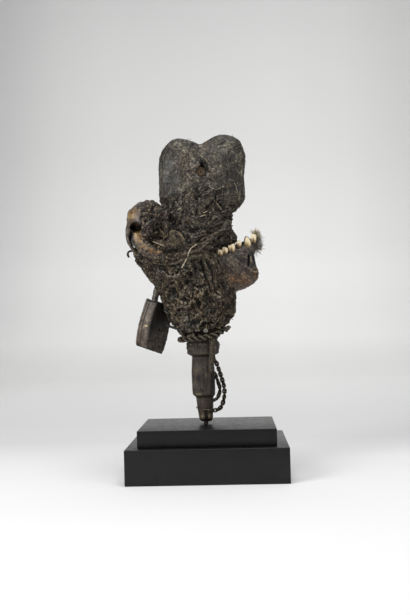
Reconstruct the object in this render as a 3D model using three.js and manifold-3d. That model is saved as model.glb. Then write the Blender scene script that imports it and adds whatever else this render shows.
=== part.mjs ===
// Fon power figure on a stepped display base: a carved wooden stake and a two-lobed
// head board, joined by a crusted bundle that holds an animal skull, a jawbone,
// a padlock, rope and fine chain. Millimetres, +Z up, the front faces -Y.
// The origin is the centre of the base's underside.
import * as THREE from 'three';
import { mergeVertices } from 'three/addons/utils/BufferGeometryUtils.js';
import Module from 'manifold-3d';

const wasm = await Module();
wasm.setup();

// Driving dimensions
const FIT_GAP = 0.3;
const LOWER_STEP = { wide: 180, deep: 145, high: 39 };
const UPPER_STEP = { wide: 154, deep: 119, high: 19 };
const BASE_EDGE = 0.8;
const BASE_TOP = LOWER_STEP.high + UPPER_STEP.high;
const PIN = { radius: 2.5, bottom: BASE_TOP - 14, top: BASE_TOP + 22, x: -2.6 };
const POST_FOOT = 60.6;
const POST_HEAD = 167;
const BOARD = { centreX: 0, centreZ: 345, halfThick: 17, valley: 4.5 };
const PEG = { x: -0.4, z: 349.7, radius: 4.4, front: -18.2, back: 5 };
const PEG_HOLE = { x: 1.3, z: 354, wide: 5, high: 8.2, tilt: -0.35, deep: 9 };
const JAW = { centreX: 34, centreZ: 238, rearHalf: 31, chinHalf: 11.5, rearX: 6, chinX: 62 };
const TEETH = [
  { x: 18.6, z: 253.5, wide: 4.8, tall: 8.2 },
  { x: 24.3, z: 255, wide: 5.4, tall: 8.8 },
  { x: 31.8, z: 257.6, wide: 7.2, tall: 9.5 },
  { x: 40.6, z: 263.5, wide: 5.2, tall: 6.8 },
  { x: 50.2, z: 261.5, wide: 7, tall: 13.3 },
  { x: 57.7, z: 268.5, wide: 5.4, tall: 7.2 },
];
const LOCK = {
  x: -60.9, y: 2, z: 172.7, thick: 11.4, plate: 1.6, plateMargin: 1.2, turn: -27.5, lean: 13.1, tilt: -8,
  top: 26.2, bottom: -25.5, topHalf: 14.6, bellyHalf: 23, bottomHalf: 16.8,
};
const SHACKLE = { radius: 3.4, half: 11, rise: 27, socket: 6 };
const ROPE = { ply: 1.7, apart: 1.8, lay: 17 };
const CHAIN = { wide: 2.1, thin: 1.1, pitch: 3.2 };

// Joining and cutting
function bare(geometry) {
  const copy = geometry.clone();
  copy.deleteAttribute('normal');
  copy.deleteAttribute('uv');
  return mergeVertices(copy, 1e-4);
}

function toSolid(geometry) {
  const merged = bare(geometry);
  return new wasm.Manifold(new wasm.Mesh({
    numProp: 3,
    vertProperties: Float32Array.from(merged.attributes.position.array),
    triVerts: Uint32Array.from(merged.index.array),
  }));
}

function toGeometry(solid) {
  const mesh = solid.getMesh();
  const geometry = new THREE.BufferGeometry();
  const positions = new Float32Array(mesh.numVert * 3);
  for (let i = 0; i < mesh.numVert; i++) {
    for (let k = 0; k < 3; k++) positions[i * 3 + k] = mesh.vertProperties[i * mesh.numProp + k];
  }
  geometry.setAttribute('position', new THREE.BufferAttribute(positions, 3));
  geometry.setIndex(new THREE.BufferAttribute(Uint32Array.from(mesh.triVerts), 1));
  return geometry;
}

function join(first, ...others) {
  return toGeometry(others.reduce((solid, other) => solid.add(toSolid(other)), toSolid(first)));
}

function cut(first, ...tools) {
  return toGeometry(tools.reduce((solid, tool) => solid.subtract(toSolid(tool)), toSolid(first)));
}

// Small chips that a cut leaves loose fall away: the largest body is the piece.
function largestBody(geometry) {
  const bodies = toSolid(geometry).decompose();
  return toGeometry(bodies.reduce((best, body) => (body.volume() > best.volume() ? body : best)));
}

// The shape grown outwards by a gap, to cut a seat for it in its neighbour.
function grown(geometry, by = FIT_GAP) {
  const shape = bare(geometry);
  shape.computeVertexNormals();
  const position = shape.attributes.position;
  const normal = shape.attributes.normal;
  for (let i = 0; i < position.count; i++) {
    position.setXYZ(
      i,
      position.getX(i) + normal.getX(i) * by,
      position.getY(i) + normal.getY(i) * by,
      position.getZ(i) + normal.getZ(i) * by,
    );
  }
  shape.deleteAttribute('normal');
  return shape;
}

// Building shapes
const at = (x, y, z) => new THREE.Vector3(x, y, z);

// A closed skin over rings of equal count; each ring runs anticlockwise seen from the last one.
function loft(rings) {
  const count = rings[0].length;
  const points = rings.flat();
  const faces = [];
  for (let r = 0; r + 1 < rings.length; r++) {
    for (let i = 0; i < count; i++) {
      const a = r * count + i;
      const b = r * count + (i + 1) % count;
      faces.push(a, b, b + count, a, b + count, a + count);
    }
  }
  const middle = ring => ring.reduce((sum, p) => sum.add(p), at(0, 0, 0)).divideScalar(count);
  const foot = points.push(middle(rings[0])) - 1;
  const head = points.push(middle(rings.at(-1))) - 1;
  const last = (rings.length - 1) * count;
  for (let i = 0; i < count; i++) {
    const next = (i + 1) % count;
    faces.push(foot, next, i, head, last + i, last + next);
  }
  const geometry = new THREE.BufferGeometry().setFromPoints(points);
  geometry.setIndex(faces);
  return geometry;
}

// A level ring: a rounded oblong between left, right, front and back.
function levelRing({ z, left, right, front, back, square = 2.3 }, sides, offset = () => 0) {
  const ring = [];
  for (let i = 0; i < sides; i++) {
    const angle = (i / sides) * Math.PI * 2;
    const c = Math.cos(angle);
    const s = Math.sin(angle);
    const reach = (value) => Math.sign(value) * Math.abs(value) ** (2 / square);
    const halfY = s < 0 ? -front : back;
    const push = 1 + offset(angle, z) / Math.max(right - left, 1) * 2;
    ring.push(at(
      (left + right) / 2 + reach(c) * (right - left) / 2 * push,
      reach(s) * halfY * push,
      z,
    ));
  }
  return ring;
}

// A cushion-like body over a flat outline: its two faces swell by half(x, z, reach).
function pillow(outline, centreX, centreZ, half, reaches) {
  if (!THREE.ShapeUtils.isClockWise(outline)) outline.reverse();
  const face = side => reaches.map(reach => outline.map((p) => {
    const x = centreX + (p.x - centreX) * reach;
    const z = centreZ + (p.y - centreZ) * reach;
    return at(x, side * half(x, z, reach), z);
  }));
  const front = face(-1);
  const rim = outline.map(p => at(p.x, 0, p.y));
  const back = face(1).reverse();
  return loft([...front, rim, ...back]);
}

function smoothOutline(points, count, closed = true) {
  const curve = new THREE.CatmullRomCurve3(points.map(([x, z]) => at(x, z, 0)), closed, 'centripetal');
  const spaced = curve.getSpacedPoints(count);
  if (closed) spaced.pop();
  return spaced.map(p => new THREE.Vector2(p.x, p.y));
}

function curveThrough(points) {
  return new THREE.CatmullRomCurve3(points.map(p => at(...p)), false, 'centripetal');
}

// A tube along a curve: radiusAt tapers it, section shapes its outline, turns twist it on the way.
function tube(curve, { sides = 8, steps = 12, radiusAt = () => 1, section = () => 1, turns = 0 }) {
  const frames = curve.computeFrenetFrames(steps, false);
  const rings = [];
  for (let s = 0; s <= steps; s++) {
    const along = s / steps;
    const centre = curve.getPointAt(along);
    const ring = [];
    for (let i = 0; i < sides; i++) {
      const angle = (i / sides) * Math.PI * 2;
      const turned = angle + along * turns * Math.PI * 2;
      const reach = radiusAt(along) * section(angle);
      ring.push(centre.clone()
        .addScaledVector(frames.normals[s], Math.cos(turned) * reach)
        .addScaledVector(frames.binormals[s], Math.sin(turned) * reach));
    }
    rings.push(ring);
  }
  return loft(rings);
}

function roundTube(points, radius, sides, steps) {
  return tube(curveThrough(points), { sides, steps, radiusAt: () => radius });
}

function egg(x, y, z, rx, ry, rz, across = 18, down = 12) {
  const shape = new THREE.SphereGeometry(1, across, down);
  shape.scale(rx, ry, rz);
  shape.translate(x, y, z);
  return shape;
}

// A turn in the XZ plane about a point; a positive angle drops the right side.
function tiltAbout(x, z, angle) {
  return new THREE.Matrix4().makeTranslation(x, 0, z)
    .multiply(new THREE.Matrix4().makeRotationY(angle))
    .multiply(new THREE.Matrix4().makeTranslation(-x, 0, -z));
}

// Quiet, repeatable lumps for the crusted surface
function lumps(angle, z) {
  return 1.5 * Math.sin(3 * angle + z * 0.09) * Math.sin(z * 0.16 + angle)
    + 1.1 * Math.sin(7 * angle - z * 0.21) + 0.8 * Math.sin(11 * angle + z * 0.37);
}

const figure = new THREE.Group();

function finish(colour, roughness, metalness = 0) {
  return new THREE.MeshStandardMaterial({ color: colour, roughness, metalness });
}

function addPiece(name, geometry, material) {
  const mesh = new THREE.Mesh(geometry, material);
  mesh.name = name;
  figure.add(mesh);
  return mesh;
}

// Stepped base and its pin
function baseStep({ wide, deep, high }, bottom) {
  const half = { x: wide / 2, y: deep / 2 };
  const ring = (inset, z) => [
    at(half.x - inset, half.y - inset, z), at(-half.x + inset, half.y - inset, z),
    at(-half.x + inset, -half.y + inset, z), at(half.x - inset, -half.y + inset, z),
  ];
  return loft([
    ring(0, bottom), ring(0, bottom + high - BASE_EDGE), ring(BASE_EDGE, bottom + high),
  ]);
}

function pinShape(extra = 0) {
  const shape = new THREE.CylinderGeometry(
    PIN.radius + extra, PIN.radius + extra, PIN.top - PIN.bottom + 2 * extra, 14,
  );
  shape.rotateX(Math.PI / 2);
  shape.translate(PIN.x, 0, (PIN.top + PIN.bottom) / 2);
  return shape;
}

const paint = finish(0x0b0b0c, 0.35);
addPiece('base_lower_step', baseStep(LOWER_STEP, 0), paint);
addPiece('base_upper_step', cut(baseStep(UPPER_STEP, LOWER_STEP.high), pinShape(FIT_GAP)), paint);
addPiece('mounting_pin', pinShape(), finish(0x222222, 0.5, 0.8));

// Post: tapered tip, shoulder, shaft, collar and the stub inside the bundle
const POST_PROFILE = [
  // height, centre, half width, half depth
  [POST_FOOT, -2.5, 5.0, 5.0],
  [61.6, -2.5, 7.0, 6.8],
  [64.5, -2.5, 8.0, 7.9],
  [75, -2.9, 9.2, 9.0],
  [89.4, -3.4, 10.1, 9.9],
  [90.6, -3.6, 11.6, 11.4],
  [93.2, -4.1, 13.0, 12.7],
  [97.5, -4.2, 13.5, 13.2],
  [118, -4.5, 13.9, 13.5],
  [136.8, -4.6, 12.9, 12.6],
  [138.6, -4.3, 16.6, 16.2],
  [141, -4.1, 18.4, 18.0],
  [147, -3.9, 19.4, 19.0],
  [152, -3.9, 19.4, 19.0],
  [154.5, -4.2, 17.5, 17.2],
  [POST_HEAD, -4.2, 15.0, 15.0],
];
const POST_SIDES = 20;

function postShape() {
  return loft(POST_PROFILE.map(([z, centre, halfX, halfY]) => levelRing(
    { z, left: centre - halfX, right: centre + halfX, front: -halfY, back: halfY, square: 2.15 },
    POST_SIDES,
  )));
}

function tipCleft() {
  const wedge = new THREE.Shape([
    new THREE.Vector2(-1.5, 0), new THREE.Vector2(1.3, 0), new THREE.Vector2(0, 16),
  ]);
  const shape = new THREE.ExtrudeGeometry(wedge, { depth: 9, bevelEnabled: false });
  shape.rotateX(Math.PI / 2);
  shape.translate(0, -4.4, POST_FOOT - 1);
  return shape;
}

const tipWood = finish(0x4a3d30, 0.8);
const postBody = cut(postShape(), tipCleft(), pinShape(FIT_GAP));
addPiece('post', postBody, tipWood);

// Head board: two lobes with a valley between them, and a peg in its hole
const BOARD_EDGE = [
  [-2.1, 384.6], [-12, 389.6], [-31, 392.6], [-45, 382.5], [-51, 368], [-50.4, 345],
  [-51, 322], [-46, 308], [-30, 300], [0, 298], [30, 301], [46, 314], [49.6, 328],
  [49.1, 350], [51, 370], [43.5, 389.5], [26, 396], [9, 390.5], [-2.1, 384.6],
];

function boardHalf(x, z, reach) {
  const rise = THREE.MathUtils.smoothstep(z, 335, 388);
  const valley = BOARD.valley * Math.exp(-((x + 1) ** 2) / 90) * rise;
  const lobe = 1.2 * Math.cos((Math.abs(x) - 25) / 25 * Math.PI / 2);
  return (BOARD.halfThick + lobe - valley) * Math.sqrt(1 - reach ** 6);
}

// The peg lies along Y and is a little thinner at its front end.
function pegShape(extra = 0) {
  const shape = new THREE.CylinderGeometry(
    PEG.radius + extra, PEG.radius * 0.82 + extra, PEG.back - PEG.front + 2 * extra, 12,
  );
  shape.translate(PEG.x, (PEG.back + PEG.front) / 2, PEG.z);
  return shape;
}

function pegHole() {
  const shape = new THREE.CylinderGeometry(1, 0.9, PEG_HOLE.deep, 16);
  shape.scale(PEG_HOLE.wide, 1, PEG_HOLE.high);
  shape.rotateY(-PEG_HOLE.tilt);
  shape.translate(PEG_HOLE.x, -BOARD.halfThick + PEG_HOLE.deep / 2 - 3, PEG_HOLE.z);
  return shape;
}

const darkWood = finish(0x453c33, 0.72);
const boardOutline = smoothOutline(BOARD_EDGE, 40, false);
boardOutline.pop();
const boardBody = cut(
  pillow(boardOutline, BOARD.centreX, BOARD.centreZ, boardHalf, [0.5, 0.82, 0.95]),
  pegHole(),
  pegShape(FIT_GAP),
);
addPiece('head_board', boardBody, darkWood);
addPiece('board_peg', pegShape(), finish(0x9a6c3c, 0.7));

// Animal skull: braincase and brow, an eye socket inside a thin rim, and the cheek arch
function skullShape() {
  const braincase = egg(-65, -5, 290, 24.8, 31, 31, 16, 10);
  const brow = egg(-74, -12, 299, 15, 20, 14.5, 10, 7);
  const rim = roundTube(
    [[-83.6, -14, 298], [-87, -17, 287], [-86.7, -18, 276], [-84.2, -20, 267.5], [-79.8, -21, 260]], 2.7, 6, 7,
  );
  const arch = tube(
    curveThrough([[-80, -25, 281], [-74.5, -31, 272], [-66, -35, 262], [-54, -37, 254], [-40, -36, 248]]),
    { sides: 8, steps: 8, radiusAt: along => 3.5 + 4 * Math.sin(Math.PI * along) ** 0.6 },
  );
  return cut(
    join(braincase, brow, rim, arch),
    egg(-76, -34, 286.2, 9, 20, 6.8, 10, 7).applyMatrix4(tiltAbout(-76, 286.5, 0.25)),
    egg(-82.4, -28, 278, 2.6, 12, 7, 8, 6),
  );
}

const oldBone = finish(0x8a6a42, 0.6);
const skullBody = cut(skullShape(), grown(boardBody));
addPiece('animal_skull', skullBody, oldBone);

// Jawbone: a deep wedge with two rows of teeth and a ridge of dried gum between them
const JAW_EDGE = [
  [-4, 246], [18, 254.5], [34, 260.5], [52, 267], [60.5, 270.3], [63, 266], [59.4, 258],
  [59.8, 246], [63.4, 234], [62.6, 225], [54, 217.5], [38, 211.5], [14, 211], [-4, 224],
];

function jawHalf(x, z, reach) {
  const towardsChin = THREE.MathUtils.clamp((x - JAW.rearX) / (JAW.chinX - JAW.rearX), 0, 1);
  return THREE.MathUtils.lerp(JAW.rearHalf, JAW.chinHalf, towardsChin) * Math.sqrt(1 - reach ** 8);
}

const jawOutline = smoothOutline(JAW_EDGE, 24);
const jawSolid = join(
  pillow(jawOutline, JAW.centreX, JAW.centreZ, jawHalf, [0.5, 0.78, 0.94]),
  roundTube([[4, 0, 250], [18, 0, 254.5], [34, 0, 260], [50, 0, 266.5], [58.5, 0, 269.8]], 4.4, 6, 5),
);

function toothShape({ x, z, wide, tall }, side) {
  const rootDepth = 4;
  const rings = [[-rootDepth, 0.7], [tall * 0.3, 1], [tall * 0.72, 0.88], [tall, 0.42]];
  const shape = loft(rings.map(([height, scale]) => levelRing({
    z: height, left: -wide / 2 * scale, right: wide / 2 * scale,
    front: -wide * 0.42 * scale, back: wide * 0.42 * scale, square: 2.6,
  }, 6)));
  shape.rotateX(side * 0.12);
  shape.rotateY(0.22);
  shape.translate(x, side * (jawHalf(x, z, 0) - 4.2), z);
  return shape;
}

const ivory = finish(0xd9cba4, 0.35);
const teeth = [];
for (const [row, side] of [['near', -1], ['far', 1]]) {
  TEETH.forEach((tooth, index) => {
    teeth.push({ name: `jaw_tooth_${row}_${index + 1}`, body: toothShape(tooth, side) });
  });
}
const jawBody = largestBody(cut(jawSolid, ...teeth.map(tooth => grown(tooth.body))));
addPiece('jawbone', jawBody, finish(0x5c4632, 0.65));
teeth.forEach(tooth => addPiece(tooth.name, tooth.body, ivory));

// Hair tuft: a flared brush at the jaw's end
function tuftShape() {
  const stations = [
    [[58.5, 263.5], 2.4, 2.6], [[62, 266], 6.4, 4.6], [[65.6, 268.6], 10.6, 6.6], [[68, 270], 11.4, 6.8],
  ];
  const up = at(-0.3, 0, 1).normalize();
  const sides = 10;
  return loft(stations.map(([[x, z], tall, deep]) => {
    const centre = at(x, -1, z);
    return Array.from({ length: sides }, (_, i) => {
      const angle = (i / sides) * Math.PI * 2;
      const ragged = 1 + 0.12 * Math.sin(5 * angle);
      return centre.clone()
        .addScaledVector(up, Math.sin(angle) * tall * ragged)
        .add(at(0, Math.cos(angle) * deep * ragged, 0));
    });
  }));
}

const tuftBody = cut(tuftShape(), grown(jawBody), ...teeth.map(tooth => grown(tooth.body)));
addPiece('hair_tuft', largestBody(tuftBody), finish(0x9c8a68, 0.9));

// Padlock: a waisted iron body between two cover plates, and its shackle
function lockOutline(margin) {
  const top = LOCK.top + margin;
  const bottom = LOCK.bottom - margin;
  const corner = 2.5;
  const topHalf = LOCK.topHalf + margin;
  const bellyHalf = LOCK.bellyHalf + margin;
  const bottomHalf = LOCK.bottomHalf + margin;
  const shape = new THREE.Shape();
  shape.moveTo(-topHalf, top);
  shape.quadraticCurveTo(-bellyHalf, 0, -bottomHalf, bottom + corner);
  shape.lineTo(-bottomHalf + corner, bottom);
  shape.lineTo(bottomHalf - corner, bottom);
  shape.lineTo(bottomHalf, bottom + corner);
  shape.quadraticCurveTo(bellyHalf, 0, topHalf, top);
  return shape;
}

function lockSlab(margin, depth, shift) {
  const shape = new THREE.ExtrudeGeometry(lockOutline(margin), {
    depth, bevelEnabled: false, curveSegments: 5,
  });
  shape.translate(0, 0, shift - depth / 2);
  shape.rotateX(Math.PI / 2);
  shape.rotateZ(Math.PI / 2);
  return shape;
}

// In the lock's own frame X is its thickness, Y its width and Z its height.
const lockFrame = new THREE.Matrix4().makeTranslation(LOCK.x, LOCK.y, LOCK.z)
  .multiply(new THREE.Matrix4().makeRotationY(THREE.MathUtils.degToRad(LOCK.lean)))
  .multiply(new THREE.Matrix4().makeRotationX(THREE.MathUtils.degToRad(LOCK.tilt)))
  .multiply(new THREE.Matrix4().makeRotationZ(THREE.MathUtils.degToRad(LOCK.turn)));

function shackleShape() {
  const low = LOCK.top - SHACKLE.socket;
  const high = LOCK.top + SHACKLE.rise;
  const points = [[0, -SHACKLE.half, low], [0, -SHACKLE.half, LOCK.top + SHACKLE.rise * 0.5]];
  const arcSteps = 4;
  for (let i = 0; i <= arcSteps; i++) {
    const angle = Math.PI - (i / arcSteps) * Math.PI;
    points.push([0, Math.cos(angle) * SHACKLE.half, high - SHACKLE.half + Math.sin(angle) * SHACKLE.half]);
  }
  points.push([0, SHACKLE.half, LOCK.top + SHACKLE.rise * 0.25], [0, SHACKLE.half, low]);
  return roundTube(points, SHACKLE.radius, 8, 14);
}

function lockShape() {
  const side = LOCK.thick / 2 + LOCK.plate / 2;
  const keyhole = new THREE.CylinderGeometry(2, 2, 6, 10);
  keyhole.rotateZ(Math.PI / 2);
  keyhole.translate(side, 0, -2);
  const keySlot = new THREE.BoxGeometry(6, 1.8, 7);
  keySlot.translate(side, 0, -6);
  return cut(
    join(
      lockSlab(0, LOCK.thick, 0),
      lockSlab(LOCK.plateMargin, LOCK.plate, side), lockSlab(LOCK.plateMargin, LOCK.plate, -side),
    ),
    grown(shackleShape()), keyhole, keySlot,
  );
}

const iron = finish(0x5d554d, 0.55, 0.6);
const lockBody = lockShape().applyMatrix4(lockFrame);
const shackleBody = shackleShape().applyMatrix4(lockFrame);
addPiece('padlock_body', lockBody, iron);
addPiece('padlock_shackle', shackleBody, iron);

// Neck rope: two twisted plies round the top of the post, its cut end standing out
const ROPE_ROUTE = [
  [28.2, -7, 169.3], [23.5, -12.5, 168], [16, -18, 165.2], [6, -22, 162], [-7, -23.3, 159.6],
  [-19, -20.5, 158.2], [-28.5, -12, 155.4], [-30, -2, 154.8], [-24.5, 11, 156.2], [-12, 19, 157.5],
  [3, 20.5, 158.4], [15, 13, 158.8], [19.2, 2, 159.6], [17.6, -6, 160.2],
];

// The rope's plain outer size, for the seat that it beds into
function ropeSeat() {
  return roundTube(ROPE_ROUTE, ROPE.ply + ROPE.apart, 6, 18);
}

function ropeShape() {
  const curve = curveThrough(ROPE_ROUTE);
  const twoPlies = angle => ROPE.ply + ROPE.apart * Math.abs(Math.cos(angle));
  return tube(curve, {
    sides: 6, steps: 40, section: twoPlies, turns: curve.getLength() / ROPE.lay,
  });
}

const fibre = finish(0x4d4133, 0.9);
const ropeBody = ropeShape();

// Post strap: a flat cord that hugs the collar and the shaft
const strapBody = largestBody(cut(
  tube(curveThrough([
    [6.8, -20.4, 157], [8, -17.6, 149], [7.6, -16.2, 142], [7, -11.5, 135],
    [5.9, -10.6, 128], [5.2, -10.4, 117],
  ]), { sides: 6, steps: 9, radiusAt: along => 3.7 - 1.4 * along }),
  grown(postBody), grown(ropeBody),
));

// Chains: one strand each, which stands for the run of small links
const LONG_ROUTE = [
  [10.6, -6, 131], [12.6, -6.2, 125], [15, -6.4, 118], [17, -6.4, 111], [19, -6.4, 104],
  [19.9, -6.4, 97], [19.4, -6.4, 89], [17.4, -6.6, 81.5], [13.6, -7.2, 75.6], [8.9, -7.7, 74],
];
const SHORT_ROUTE = [
  [9.6, -13.4, 116.5], [11, -10.9, 112], [12.6, -8.8, 107], [14.3, -7.8, 101.5], [14.6, -7.6, 96.5],
  [13.4, -7.6, 92], [11.2, -7.7, 87.6], [8.9, -8.1, 86.3],
];

// One ring to each link: every other link lies on its side, so that the strand is wide
// one way at one ring and wide the other way at the next
function chainShape(route) {
  const curve = curveThrough(route);
  const links = Math.round(curve.getLength() / CHAIN.pitch);
  const frames = curve.computeFrenetFrames(links, false);
  const rings = [];
  for (let link = 0; link <= links; link++) {
    const flat = link % 2 === 0;
    const across = flat ? CHAIN.wide : CHAIN.thin;
    const through = flat ? CHAIN.thin : CHAIN.wide;
    const centre = curve.getPointAt(link / links);
    rings.push([0, 1, 2, 3, 4, 5].map(corner => {
      const angle = (corner / 6) * Math.PI * 2;
      return centre.clone()
        .addScaledVector(frames.normals[link], Math.cos(angle) * across)
        .addScaledVector(frames.binormals[link], Math.sin(angle) * through);
    }));
  }
  return loft(rings);
}

function tipRing() {
  const ring = new THREE.TorusGeometry(10.6, 0.8, 4, 18);
  ring.translate(-2.9, 0, 0);
  ring.rotateY(0.16);
  ring.translate(0, 0, 75.2);
  return ring;
}

const ringBody = cut(tipRing(), grown(postBody));

// Tie stick, hooked twig and bead
const stickBody = cut(
  roundTube([[-46, -4, 174], [-38, -8, 171], [-31, -11, 168.6], [-24, -13, 167]], 1.5, 6, 6),
  grown(lockBody),
);
const twigBody = roundTube(
  [[-79, -10, 260.9], [-84.3, -10, 261.2], [-87.4, -10.5, 260], [-88.3, -11, 257], [-87.1, -11, 253.4]],
  1.3, 5, 8,
);
const beadBody = egg(0.7, -24.8, 166.6, 2.5, 2.5, 2.5, 10, 6);

// Bound mass: the crusted bundle, with seats for all that it holds
const MASS_SECTIONS = [
  // height, left, right, front, back
  [154.6, -20, 11, -15, 15], [158.5, -26.5, 14.5, -19.5, 17.5], [164, -30.5, 19, -23.5, 21],
  [172, -37, 24, -26.5, 24], [180, -42, 29, -29, 27], [190, -45.5, 32.5, -32, 30],
  [202, -50, 35, -35, 32], [212, -55, 36, -36, 33], [222, -61, 32.5, -37, 34],
  [234, -70.5, 30, -37.5, 35], [246, -76.5, 29, -37.5, 35], [256, -81.5, 29, -36.5, 34],
  [266, -80, 33, -35, 33], [274, -64, 38.5, -34, 31], [282, -57, 33, -33, 30], [292, -54, 31.5, -32, 29],
  [302, -51, 31.5, -29, 27], [311, -48, 34, -25, 24], [321, -42, 36.5, -21.8, 21], [334, -14, 20, -19.6, 19.4],
];
const MASS_SIDES = 24;

function massCore() {
  return loft(MASS_SECTIONS.map(([z, left, right, front, back]) => levelRing(
    { z, left, right, front, back }, MASS_SIDES, z > 160 && z < 315 ? lumps : undefined,
  )));
}

// A cord wound round the bundle at a height, sloping to one side and standing half out of it.
function windingCord(height, slope, proud) {
  const sections = MASS_SECTIONS.map(([z, left, right, front, back]) => ({ z, left, right, front, back }));
  const points = [];
  const count = 12;
  for (let i = 0; i <= count; i++) {
    const angle = (i / count) * Math.PI * 1.94;
    const z = height + slope * Math.cos(angle);
    const upper = sections.find(section => section.z >= z);
    const lower = sections[sections.indexOf(upper) - 1];
    const mix = (z - lower.z) / (upper.z - lower.z);
    const blend = key => THREE.MathUtils.lerp(lower[key], upper[key], mix);
    const halfX = (blend('right') - blend('left')) / 2 + proud;
    const halfY = (Math.sin(angle) < 0 ? -blend('front') : blend('back')) + proud;
    points.push([
      (blend('right') + blend('left')) / 2 + Math.cos(angle) * halfX, Math.sin(angle) * halfY, z,
    ]);
  }
  return roundTube(points, 2.2, 4, 12);
}

function frontCord(points, radius = 2.1) {
  return roundTube(points, radius, 4, 6);
}

// A tent-shaped fold of crusted cloth beside the cheek arch
const TENT_EDGE = [[-50, 261], [-38.5, 275.5], [-33.5, 280.5], [-28.5, 277], [-20, 263], [-34, 257]];

function clothTent() {
  const half = (x, z, reach) => 7 * Math.sqrt(1 - reach ** 4);
  return pillow(smoothOutline(TENT_EDGE, 14), -34, 266, half, [0.6]).translate(0, -34, 0);
}

function boundMass() {
  const windings = [[300, 4], [286, -4]].map(
    ([height, slope]) => windingCord(height, slope, -0.4),
  );
  const frontCords = [
    frontCord([[-13, -20, 303], [-12.5, -20.5, 314], [-7, -20.4, 322], [11, -20, 327.5], [30, -18.6, 331]]),
    frontCord([[15, -20.4, 324], [7, -22, 315], [0, -24, 307], [-8, -28, 296]]),
    frontCord([[31, -25, 290], [20, -31, 278], [8, -35, 268], [-8, -38, 256], [-24, -39, 244]], 2.6),
    frontCord([[33, -24, 276], [22, -31, 262], [12, -36, 248], [4, -38, 232]], 2.6),
    frontCord([[-30, -38.5, 252], [-16, -39.5, 240], [-6, -39, 226], [6, -38, 212]], 2.4),
  ];
  const knobs = [
    egg(-37, -28, 303, 6, 5.5, 9, 8, 6), egg(-46, -26, 299, 8, 9, 10, 8, 6), egg(-38, -32, 284, 9, 7, 6, 8, 6),
  ];
  const solid = join(massCore(), ...windings, ...frontCords, ...knobs, clothTent());
  const hollows = [
    egg(0.4, -25.4, 166.6, 5, 5.2, 4.4, 10, 6),
    egg(-48, -38, 288, 6.5, 10, 6.5, 8, 6),
    egg(-52, -41, 271, 9.5, 8, 4.4, 8, 6),
  ];
  const held = [
    postBody, boardBody, skullBody, jawSolid, lockBody, shackleBody, ropeSeat(), strapBody,
    stickBody, twigBody, ...teeth.map(tooth => tooth.body),
  ];
  return largestBody(cut(solid, ...hollows, ...held.map(body => grown(body))));
}

addPiece('bound_mass', boundMass(), finish(0x2c251f, 0.95));
addPiece('neck_rope', cut(ropeBody, grown(postBody)), fibre);
addPiece('post_strap', strapBody, fibre);
addPiece('chain_long', chainShape(LONG_ROUTE), finish(0x4a4238, 0.5, 0.7));
addPiece('chain_short', chainShape(SHORT_ROUTE), finish(0x4a4238, 0.5, 0.7));
addPiece('tip_ring', ringBody, finish(0x8c8272, 0.4, 0.8));
addPiece('tie_stick', stickBody, finish(0x2e2822, 0.8));
addPiece('hooked_twig', twigBody, finish(0x2e2822, 0.8));
addPiece('glass_bead', beadBody, finish(0xb9b2a6, 0.3));

export default figure;
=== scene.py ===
# %% [markdown]
# A ritual figure bound with cord, earth and bone stands here on a black stepped base.
# The plain solids come first, because they say where every piece sits and how big it is.
# Everything after this cell is modelled round them, in metres, with the front facing -Y.

# %% Load the solids and keep their box
import math
import random

import bpy
import numpy as np
from mathutils import Matrix, Vector, noise
from mathutils.bvhtree import BVHTree


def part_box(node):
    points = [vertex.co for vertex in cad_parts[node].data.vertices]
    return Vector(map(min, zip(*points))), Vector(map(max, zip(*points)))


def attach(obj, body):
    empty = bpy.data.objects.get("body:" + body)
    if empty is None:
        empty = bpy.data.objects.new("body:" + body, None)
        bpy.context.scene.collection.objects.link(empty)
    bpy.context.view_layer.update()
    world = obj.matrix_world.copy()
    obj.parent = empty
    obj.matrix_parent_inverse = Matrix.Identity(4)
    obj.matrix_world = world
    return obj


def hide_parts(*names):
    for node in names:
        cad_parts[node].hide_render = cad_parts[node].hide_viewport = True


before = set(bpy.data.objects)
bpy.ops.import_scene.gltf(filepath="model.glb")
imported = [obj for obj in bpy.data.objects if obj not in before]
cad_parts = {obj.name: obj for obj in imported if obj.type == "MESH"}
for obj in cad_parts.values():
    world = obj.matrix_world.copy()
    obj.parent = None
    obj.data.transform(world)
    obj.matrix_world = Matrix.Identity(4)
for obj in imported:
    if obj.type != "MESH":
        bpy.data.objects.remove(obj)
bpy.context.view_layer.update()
MM = 0.001

# %% [markdown]
# The figure was photographed from a little to its right and from just above the base.
# A camera is placed from three small turns: a yaw to the left, a tilt upwards and
# a slight roll. The lens is a normal one, so that the base shows only a little of its top.

# %% Camera
CAMERA_PLACE = Vector((34.4, -971.0, 175.4)) * MM
CAMERA_YAW, CAMERA_PITCH, CAMERA_ROLL = (math.radians(v) for v in (2.057, 1.061, 1.434))
CAMERA_LENS = 48.59

camera_data = bpy.data.cameras.new("camera")
camera_data.lens = CAMERA_LENS
camera_data.clip_start = 0.05
camera_data.clip_end = 20
camera = bpy.data.objects.new("camera", camera_data)
bpy.context.scene.collection.objects.link(camera)
look = (Matrix.Rotation(CAMERA_YAW, 3, "Z") @ Matrix.Rotation(CAMERA_PITCH, 3, "X")
    @ Matrix.Rotation(CAMERA_ROLL, 3, "Y"))
right, ahead, up = look.col[0], look.col[1], look.col[2]
camera.matrix_world = Matrix.Translation(CAMERA_PLACE) @ Matrix((
    (right.x, up.x, -ahead.x), (right.y, up.y, -ahead.y), (right.z, up.z, -ahead.z),
)).to_4x4()
bpy.context.scene.camera = camera
print("camera looks along", [round(v, 3) for v in ahead])

# %% [markdown]
# Most steps below repeat a few moves: deselect all, make one piece active, apply a
# modifier, work in edit mode. They are written once here as small helpers, so that each
# piece's own cell shows only what is special about it.

# %% Helpers for the modelling steps
def deselect():
    bpy.ops.object.select_all(action="DESELECT")


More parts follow.
